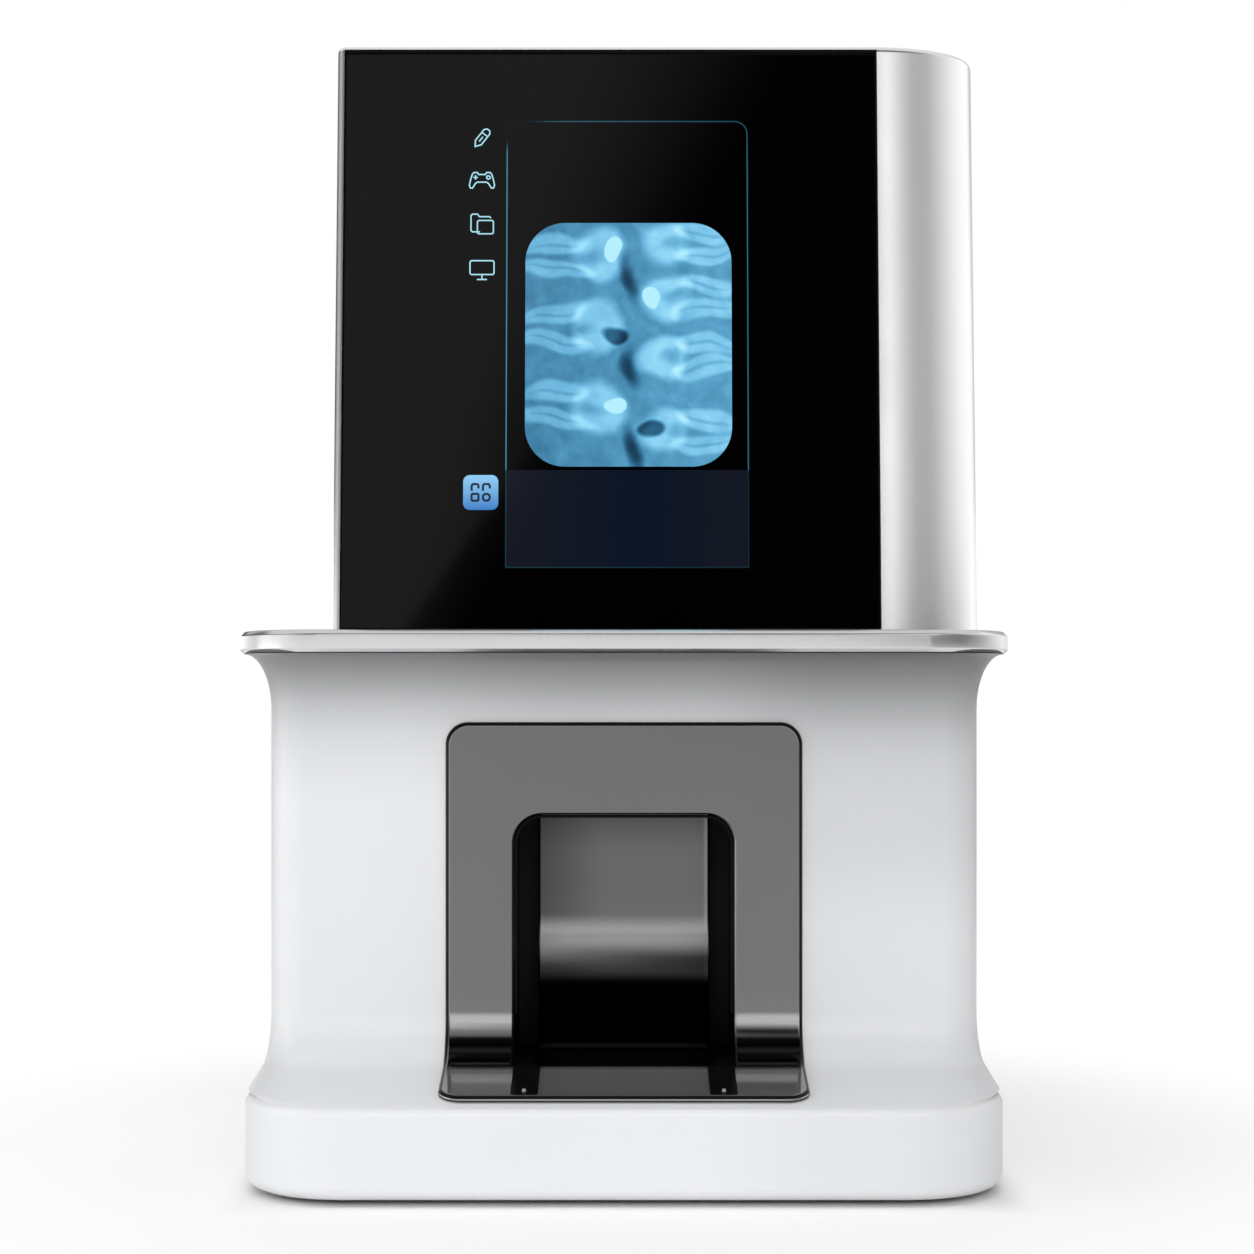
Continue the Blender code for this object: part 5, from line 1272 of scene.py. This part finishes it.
# Tray pins: a small turned steel pin at the front end of each gutter locates the tray on the deck. It
# is pressed into the black sheet from below and its head is rounded.
PIN_RADIUS = 0.0007
PIN_STAND = 0.0007
PIN_ASIDE = 0.0325
PIN_DEPTH = -0.1136
pin_steel = satin_metal("pin_steel", (0.34, 0.343, 0.35), 0.3, 0.7)
pin_seat = deck_height((PIN_DEPTH - BASE_FRONT) / BODY_SETBACK) + bezel_top - GUTTER_DEPTH
pin_profile = [
    (PIN_RADIUS, 0), (PIN_RADIUS, PIN_STAND), (PIN_RADIUS * 0.7, PIN_STAND + PIN_RADIUS / 2),
    (PIN_RADIUS * 0.2, PIN_STAND + PIN_RADIUS * 0.6),
]
for side_name, aside in (("left", -PIN_ASIDE), ("right", PIN_ASIDE)):
    pin_shape = laid_along(turned(pin_profile, 20), (aside, PIN_DEPTH, pin_seat))
    make_piece("tray_pin_" + side_name, pin_shape, pin_steel)


# Gasket: a black rubber bead, pushed on the inner edge of the bezel's opening. It closes the joint
# between the pressing and the moulded box of the recess.
GASKET_WIDTH = 0.0013
GASKET_DEPTH = 0.0022


def opening_arch(inset):
    """The opening's sides and round top corners as x and height, from the foot at the right."""
    corner = OPENING_CORNER - inset
    side, top = OPENING_HALF - inset, OPENING_TOP - inset
    points = [(side, CURL_TOP)] + arc((side - corner, top - corner), corner, corner, 0, 90, 10)
    return points + arc((corner - side, top - corner), corner, corner, 90, 180, 10) + [(-side, CURL_TOP)]


gasket_near, gasket_far = BODY_FRONT + GAP, BODY_FRONT + GASKET_DEPTH
gasket_rings = []
for (outer_x, outer_z), (inner_x, inner_z) in zip(opening_arch(GAP), opening_arch(GASKET_WIDTH)):
    gasket_rings.append([
        (outer_x, gasket_near, outer_z), (inner_x, gasket_near, inner_z),
        (inner_x, gasket_far, inner_z), (outer_x, gasket_far, outer_z),
    ])
gasket_black = moulded_plastic("gasket_black", (0.004, 0.004, 0.004), 0.6, depth=0.00002, gloss=0.10)
make_piece("opening_gasket", skin(gasket_rings), gasket_black, edge=0.0002)


# Recess: a black box, moulded in one, that closes the space behind the bezel's opening. It is kept
# as the frame has it, in a fine matt grain.
recess_black = moulded_plastic(
    "recess_black", (0.004, 0.004, 0.0045), 0.45, grain=1800.0, depth=0.00002, gloss=0.15
)
dress("recess_liner", recess_black, 0.0003)


# Chute panel: a dark satin sheet that hangs at the back of the recess and sweeps forward into the floor, so
# that a plate slides down it to the tray. Its edges are broken, and its tone carries painted light: a
# painted highlight band across the bend and down the right edge, and painted shade at the foot, at the top
# and at the left.
panel_low, panel_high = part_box("chute_panel")
PANEL_THICKNESS = 0.0012
PANEL_BEND_RADIUS = 0.0407
PANEL_BEND_RISE = 0.048
PANEL_EDGE = 0.0004
PAINTED_HIGHLIGHT_TONE = (0.52, 0.52, 0.53, 1)
HIGHLIGHT_BAND_FOOT = (0.068, 0.078)
HIGHLIGHT_BAND_TOP = (0.078, 0.0875)
PAINTED_SHADE_FOOT = (0.0615, 0.0775)
PAINTED_SHADE_TOP = (0.106, 0.1235)
GLOSS_HEIGHTS = (0.080, 0.095)
PAINTED_SHADE_WIDTH = 0.027
EDGE_HIGHLIGHT_WIDTH = (0.0022, 0.0009)
panel_floor = panel_low.z + PANEL_THICKNESS
panel_face_y = panel_high.y - PANEL_THICKNESS
bend_centre = (panel_face_y - PANEL_BEND_RADIUS, panel_floor + PANEL_BEND_RISE)
outer_bend, outer_rise = PANEL_BEND_RADIUS + PANEL_THICKNESS, PANEL_BEND_RISE + PANEL_THICKNESS
panel_side = [(panel_face_y, panel_high.z)]
panel_side += arc(bend_centre, PANEL_BEND_RADIUS, PANEL_BEND_RISE, 0, -90, 40)
panel_side += [(panel_low.y, panel_floor), (panel_low.y, panel_low.z)]
panel_side += arc(bend_centre, outer_bend, outer_rise, -90, 0, 40)
panel_side.append((panel_high.y, panel_high.z))

chute_satin, chute_tree, chute_shader = new_stock("chute_satin")
chute_x, _, chute_z = spot_on(chute_tree)
chute_tone = cloudy(chute_tree, 14.0, (0.146, 0.146, 0.149), (0.154, 0.154, 0.157))
painted_highlight_band = product(reach(chute_z, *HIGHLIGHT_BAND_FOOT), reach(chute_z, *HIGHLIGHT_BAND_TOP, 1.0, 0.0))
# Painted shade at the left and towards the top, a painted highlight band across the bend and a painted
# highlight line down the right edge.
for share, tone in (
    (reach(chute_x, panel_low.x, panel_low.x + PAINTED_SHADE_WIDTH, 0.46, 0.0), grey(0.008)),
    (reach(chute_z, *PAINTED_SHADE_TOP, 0.0, 0.34), grey(0.008)),
    (painted_highlight_band, PAINTED_HIGHLIGHT_TONE),
    (reach(chute_x, *[panel_high.x - inset for inset in EDGE_HIGHLIGHT_WIDTH], 0.0, 0.22), PAINTED_HIGHLIGHT_TONE),
):
    chute_tone = between(share, chute_tone, tone)
# Below the bend the tone goes near black: painted shade at the foot.
feed(chute_shader, {
    "Base Color": between(reach(chute_z, *PAINTED_SHADE_FOOT), grey(0.004), chute_tone),
    "Metallic": reckon("MULTIPLY_ADD", painted_highlight_band, -0.8, 1.0),
    "Roughness": reach(chute_z, *GLOSS_HEIGHTS, 0.13, 0.25),
})
grain_on(chute_shader, 2200.0, 0.000004)
panel_shape = drawn_across(panel_side, panel_low.x, panel_high.x)
make_piece("chute_sheet", panel_shape, chute_satin, ["chute_panel"], edge=PANEL_EDGE)


# Plate carriage and what drives and surrounds it: the tongue that holds the imaging plate, its magnet
# pad, the black block on two ground rods, the brass nut and bearings, the felt round the slot, the
# steel cans of motors, detector and power supply, the coated mirror and the clear light guide.
block_black = moulded_plastic("block_black", (0.014, 0.014, 0.015), 0.38)
turned_brass = rolled_metal("turned_brass", (0.74, 0.55, 0.25), 0.26, (18.0, 18.0, 1.0))
ground_steel = rolled_metal("ground_steel", (0.66, 0.665, 0.675), 0.16, (1.0, 1.0, 30.0))
felt_black = moulded_plastic("felt_black", (0.012, 0.012, 0.012), 0.95, grain=5200.0, depth=0.0002)
motor_steel = rolled_metal("motor_steel", (0.42, 0.425, 0.435), 0.38, (24.0, 24.0, 1.0))
mirror_coat, mirror_tree, mirror_shader = new_stock("mirror_coat")
feed(mirror_shader, {
    "Base Color": cloudy(mirror_tree, 80.0, (0.90, 0.91, 0.92), (0.94, 0.95, 0.96)),
    "Roughness": drift(mirror_tree, 200.0, 0.01, 0.03),
    "Metallic": 1.0,
})
clear_bar, clear_tree, clear_shader = new_stock("clear_bar")
feed(clear_shader, {
    "Base Color": cloudy(clear_tree, 30.0, (0.90, 0.95, 0.97), (0.96, 0.98, 1.0)),
    "Roughness": drift(clear_tree, 300.0, 0.02, 0.08),
    "Transmission Weight": 1.0,
    "IOR": 1.49,
})
for stock, edge, names in (
    (satin_metal("dark_satin", (0.150, 0.150, 0.153), 0.27), 0.0002, ["plate_holder"]),
    (recess_black, 0.0001, ["magnet_pad"]),
    (block_black, 0.0004, ["carriage_block"]),
    (turned_brass, 0.0002, ["lead_nut", "screw_bearing_lower", "screw_bearing_upper", "laser_module"]),
    (ground_steel, 0.0002, ["guide_rod_left", "guide_rod_right"]),
    (felt_black, 0.0001, ["slot_seal"]),
    (motor_steel, 0.0004, ["lift_motor", "mirror_motor", "photomultiplier", "power_supply"]),
    (mirror_coat, 0.0001, ["scan_mirror"]),
    (clear_bar, 0.0002, ["light_guide"]),
):
    for name in names:
        dress(name, stock, edge)


# Electronics: the boards are green laminate under solder mask with their parts soldered on, and the
# heat sink is extruded and anodised silver.
board_green = moulded_plastic(
    "board_green", (0.016, 0.115, 0.052), 0.36, grain=900.0, depth=0.00003, spread=0.15
)
for board in ("main_board", "erase_lamp_board"):
    dress(board, board_green, 0.0001)
dress("heat_sink", satin_silver)
board_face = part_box("main_board")[1].y


def on_board(places):
    """Blocks that stand on the board's rear face: middle across and up, width, height and thickness."""
    shapes = []
    for x, z, width, height, thick in places:
        low = (x - width / 2, board_face + GAP / 3, z - height / 2)
        shapes.append(block(low, (x + width / 2, board_face + thick, z + height / 2)))
    return joined(shapes)


chips = [
    (-0.036, 0.262, 0.014, 0.014, 0.0014), (-0.036, 0.240, 0.010, 0.010, 0.0012),
    (0.034, 0.266, 0.012, 0.009, 0.0012), (0.034, 0.250, 0.012, 0.009, 0.0012),
    (0.034, 0.234, 0.008, 0.008, 0.0012), (-0.038, 0.216, 0.012, 0.008, 0.0016),
    (0, 0.212, 0.020, 0.006, 0.0014),
]
chips += [(-0.020 + 0.005 * i, 0.2195, 0.0020, 0.0012, 0.0008) for i in range(9)]
make_piece("board_chips", on_board(chips), block_black, edge=0.0001)
plug_white = moulded_plastic("plug_white", (0.62, 0.60, 0.54), 0.4)
plugs = [
    (-0.024, 0.2836, 0.022, 0.0060, 0.0075), (0.012, 0.2836, 0.030, 0.0060, 0.0075),
    (-0.0510, 0.232, 0.0060, 0.026, 0.0075), (0.0510, 0.214, 0.0060, 0.020, 0.0075),
]
make_piece("board_plugs", on_board(plugs), plug_white, edge=0.0002)
cans = []
for x, z, radius, tall in (
    (0.038, 0.201, 0.0036, 0.0085), (0.028, 0.201, 0.0036, 0.0085), (-0.046, 0.201, 0.0028, 0.0060),
):
    can_profile = [(radius, 0), (radius, tall * 0.14), (radius * 0.92, tall * 0.19), (radius, tall * 0.24)]
    can_profile += [(radius, tall * 0.96), (radius * 0.93, tall)]
    cans.append(laid_along(turned(can_profile, 24), (x, board_face + GAP / 3, z), (0, 1, 0)))
make_piece("board_capacitors", joined(cans), satin_silver)


# Lead screw: a steel bar of 6 mm with a four start thread of 8 mm lead cut between its two plain
# ends, which run in the bearings.
SCREW_LEAD = 0.008
THREAD_STARTS = 4
THREAD_DEPTH = 0.0006
THREAD_STEP = 0.00025
THREAD_SIDES = 24
THREAD_CREST = 0.3
THREAD_FLANK = 0.4
screw_low, screw_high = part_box("lead_screw")
screw_radius = (screw_high.x - screw_low.x) / 2
screw_line = middle_of("lead_screw")
thread_low, thread_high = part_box("screw_bearing_lower")[1].z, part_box("screw_bearing_upper")[0].z


def thread_radius(height, angle):
    """Radius of the thread: a flat crest, a flat root and two sloping flanks."""
    if not thread_low < height < thread_high:
        return screw_radius
    phase = THREAD_STARTS * (height / SCREW_LEAD - angle / (2 * math.pi)) % 1
    flank = abs(phase - 0.5) * 2
    return screw_radius - THREAD_DEPTH * min(1.0, max(0.0, (flank - THREAD_CREST) / THREAD_FLANK))


screw_rings = []
turns = [2 * math.pi * i / THREAD_SIDES for i in range(THREAD_SIDES)]
for step in range(int((screw_high.z - screw_low.z) / THREAD_STEP) + 1):
    height = min(screw_low.z + step * THREAD_STEP, screw_high.z)
    ring = [(thread_radius(height, t) * math.cos(t), thread_radius(height, t) * math.sin(t)) for t in turns]
    screw_rings.append(level_ring([(screw_line.x + x, screw_line.y + y) for x, y in ring], height))
make_piece("threaded_bar", skin(screw_rings), ground_steel, ["lead_screw"], body="lift_screw")


# Rear cover and its fittings: a white moulded plate with the fan's slots, fixed with four pan head
# screws. It carries the mains inlet, the switch with its rocker, and two data sockets in steel shells.
COVER_CORNER = 0.006
COVER_ROLL = 0.0006
VENT_HALF_LENGTH = 0.0200
VENT_HALF_WIDTH = 0.0015
VENT_PITCH = 0.0062
VENT_COUNT = 7
FASTENER_HOLE = 0.0016
INLET_FLANGE = 0.0025
SWITCH_FLANGE = 0.00125
fan_line = middle_of("fan_rotor").z


def box_plan(low, high, inset, corner, steps=14):
    """A piece's outline across and up, drawn in by an inset."""
    return rounded_plan(low.x + inset, high.x - inset, low.z + inset, high.z - inset, corner, steps)


def upright_ring(plan, depth):
    return [(x, depth, z) for x, z in plan]


def cover_ring(inset, depth):
    return upright_ring(box_plan(cover_low, cover_high, inset, COVER_CORNER - inset), depth)


cover_rings = [cover_ring(0, cover_low.y)] + rolled(cover_ring, 3, COVER_ROLL, COVER_ROLL, cover_high.y)
rear_plate = make_piece("rear_cover_plate", skin(cover_rings), satin_white, ["rear_cover"])
cover_holes = []
for fitting, flange in (
    ("power_inlet", INLET_FLANGE), ("switch_body", SWITCH_FLANGE), ("usb_port", 0), ("lan_port", 0),
):
    cover_holes.append(box_plan(*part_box(fitting), flange - GAP, GAP, 2))
for slot in range(VENT_COUNT):
    slot_line = fan_line + (slot - (VENT_COUNT - 1) / 2) * VENT_PITCH
    low, high = slot_line - VENT_HALF_WIDTH, slot_line + VENT_HALF_WIDTH
    corner = VENT_HALF_WIDTH * 0.96
    cover_holes.append(rounded_plan(-VENT_HALF_LENGTH, VENT_HALF_LENGTH, low, high, corner, 5))
for number in range(1, 5):
    hole_middle = middle_of(f"rear_screw_{number}")
    cover_holes.append(arc((hole_middle.x, hole_middle.z), FASTENER_HOLE, FASTENER_HOLE, 0, 345, 23))
through = (cover_low.y - OVERRUN, cover_high.y + OVERRUN)
cut_away(rear_plate, *[skin([upright_ring(plan, depth) for depth in through]) for plan in cover_holes])
even_shading(rear_plate)
for black_piece in ("power_inlet", "switch_body", "fan_frame", "fan_rotor"):
    dress(black_piece, block_black, 0.0003)
rocker_black = moulded_plastic("rocker_black", (0.010, 0.010, 0.011), 0.25)
dress("power_rocker", rocker_black, 0.0004)
for port in ("usb_port", "lan_port"):
    dress(port, ground_steel)


# Contacts: each data socket has a black moulded insert, the square one with a pale tongue and the
# network one with eight gilt wires bent up from its floor. The mains inlet has three steel pins.
# Halves are half widths and half heights.
TONGUE_HALF = (0.0026, 0.0013)
USB_MOUTH_HALF = (0.0042, 0.0038)
LAN_MOUTH_HALF = (0.0058, 0.0041)
INSERT_WALL = 0.0004
INSERT_BACK = 0.0119
INSERT_FRONT = 0.0005
TONGUE_FRONT = 0.0026
WIRE_COUNT = 8
WIRE_PITCH = 0.00102
WIRE_HALF = 0.00022
WIRE_FRONT = 0.0040
WIRE_FOOT = 0.0006
WIRE_TIP = 0.0031
WIRE_THICKNESS = 0.0003
PIN_PITCH = 0.0070
PIN_HALF = (0.00106, 0.00206)
PIN_BACK = 0.0169
PIN_FRONT = 0.0069
usb_middle, lan_middle, inlet_middle = [middle_of(name) for name in ("usb_port", "lan_port", "power_inlet")]
port_mouth, inlet_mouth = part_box("usb_port")[1].y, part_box("power_inlet")[1].y
port_floor = port_mouth - INSERT_BACK


def block_round(middle, half, back, front):
    """A box round a line that runs to the rear, from one depth to another."""
    low = (middle.x - half[0], back, middle.z - half[1])
    return block(low, (middle.x + half[0], front, middle.z + half[1]))


tongue = block_round(usb_middle, TONGUE_HALF, port_floor, port_mouth - TONGUE_FRONT)
make_piece("usb_tongue", tongue, plug_white, edge=0.0002)
for name, middle, half in (
    ("usb_insert", usb_middle, USB_MOUTH_HALF), ("lan_insert", lan_middle, LAN_MOUTH_HALF),
):
    insert_shape = block_round(middle, half, port_floor - GAP / 2, port_mouth - INSERT_FRONT)
    insert = make_piece(name, insert_shape, block_black)
    inner_half = (half[0] - INSERT_WALL, half[1] - INSERT_WALL)
    cut_away(insert, block_round(middle, inner_half, port_floor, port_mouth + OVERRUN))
wire_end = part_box("lan_port")[1].y - WIRE_FRONT
wire_side = [
    (port_floor, lan_middle.z + WIRE_FOOT), (wire_end, lan_middle.z + WIRE_TIP),
    (wire_end, lan_middle.z + WIRE_TIP + WIRE_THICKNESS),
    (port_floor, lan_middle.z + WIRE_FOOT + WIRE_THICKNESS),
]
wires = []
for i in range(WIRE_COUNT):
    wire_x = lan_middle.x + (i - (WIRE_COUNT - 1) / 2) * WIRE_PITCH
    wires.append(drawn_across(wire_side, wire_x - WIRE_HALF, wire_x + WIRE_HALF))
gilt_wire = rolled_metal("gilt_wire", (0.83, 0.62, 0.26), 0.2, (1.0, 24.0, 1.0))
make_piece("lan_contacts", joined(wires), gilt_wire)
pins = []
for aside in (-PIN_PITCH, 0, PIN_PITCH):
    pin_line = inlet_middle + Vector((aside, 0, 0))
    pins.append(block_round(pin_line, PIN_HALF, inlet_mouth - PIN_BACK, inlet_mouth - PIN_FRONT))
make_piece("mains_pins", joined(pins), ground_steel, edge=0.0003)


# Screws: pan head machine screws with a cross recess. Four hold the rear cover and four the bottom
# plate; both kinds are the same zinc plated screw.
HEAD_RADIUS = 0.0028
HEAD_HEIGHT = 0.0016
SHANK_RADIUS = 0.0014
SHANK_LENGTH = 0.0045
SHANK_PITCH = 0.0005
RECESS_HALF = (0.0015, 0.00028)
RECESS_DEPTH = 0.0009
DOME_SHARE = 0.6
screw_profile = [(SHANK_RADIUS * 0.5, -SHANK_LENGTH)]
for i in range(8):
    crest = -SHANK_LENGTH + (i + 0.7) * SHANK_PITCH
    screw_profile += [(SHANK_RADIUS, crest), (SHANK_RADIUS * 0.8, crest + SHANK_PITCH / 2)]
screw_profile += [(SHANK_RADIUS, 0), (HEAD_RADIUS * 0.98, GAP)]
screw_profile.append((HEAD_RADIUS, GAP + HEAD_HEIGHT * (1 - DOME_SHARE)))
dome_turns = [math.radians(turn) for turn in (20, 40, 60, 80)]
for turn in dome_turns:
    rise = 1 - DOME_SHARE + DOME_SHARE * math.sin(turn) / math.sin(dome_turns[-1])
    screw_profile.append((HEAD_RADIUS * math.cos(turn), GAP + HEAD_HEIGHT * rise))

zinc = rolled_metal("zinc_plate", (0.68, 0.685, 0.69), 0.24, (4.0, 4.0, 4.0))
recess_floor = GAP + HEAD_HEIGHT - RECESS_DEPTH
recess_slots = [
    block((-x, -y, recess_floor), (x, y, GAP + HEAD_HEIGHT + OVERRUN))
    for x, y in (RECESS_HALF, RECESS_HALF[::-1])
]
for group, axis in (("rear_screw_", (0, 1, 0)), ("base_screw_", (0, 0, -1))):
    for number in range(1, 5):
        name = f"{group}{number}"
        head_low, head_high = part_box(name)
        seat = middle_of(name)
        if axis[1]:
            seat.y = head_high.y - GAP - HEAD_HEIGHT
        else:
            seat.z = head_low.z + GAP + HEAD_HEIGHT
        screw_shape = laid_along(turned(screw_profile, 24), seat, axis)
        screw = make_piece(name + "_pan_head", screw_shape, zinc, [name])
        cut_away(screw, *[laid_along(slot, seat, axis) for slot in recess_slots])
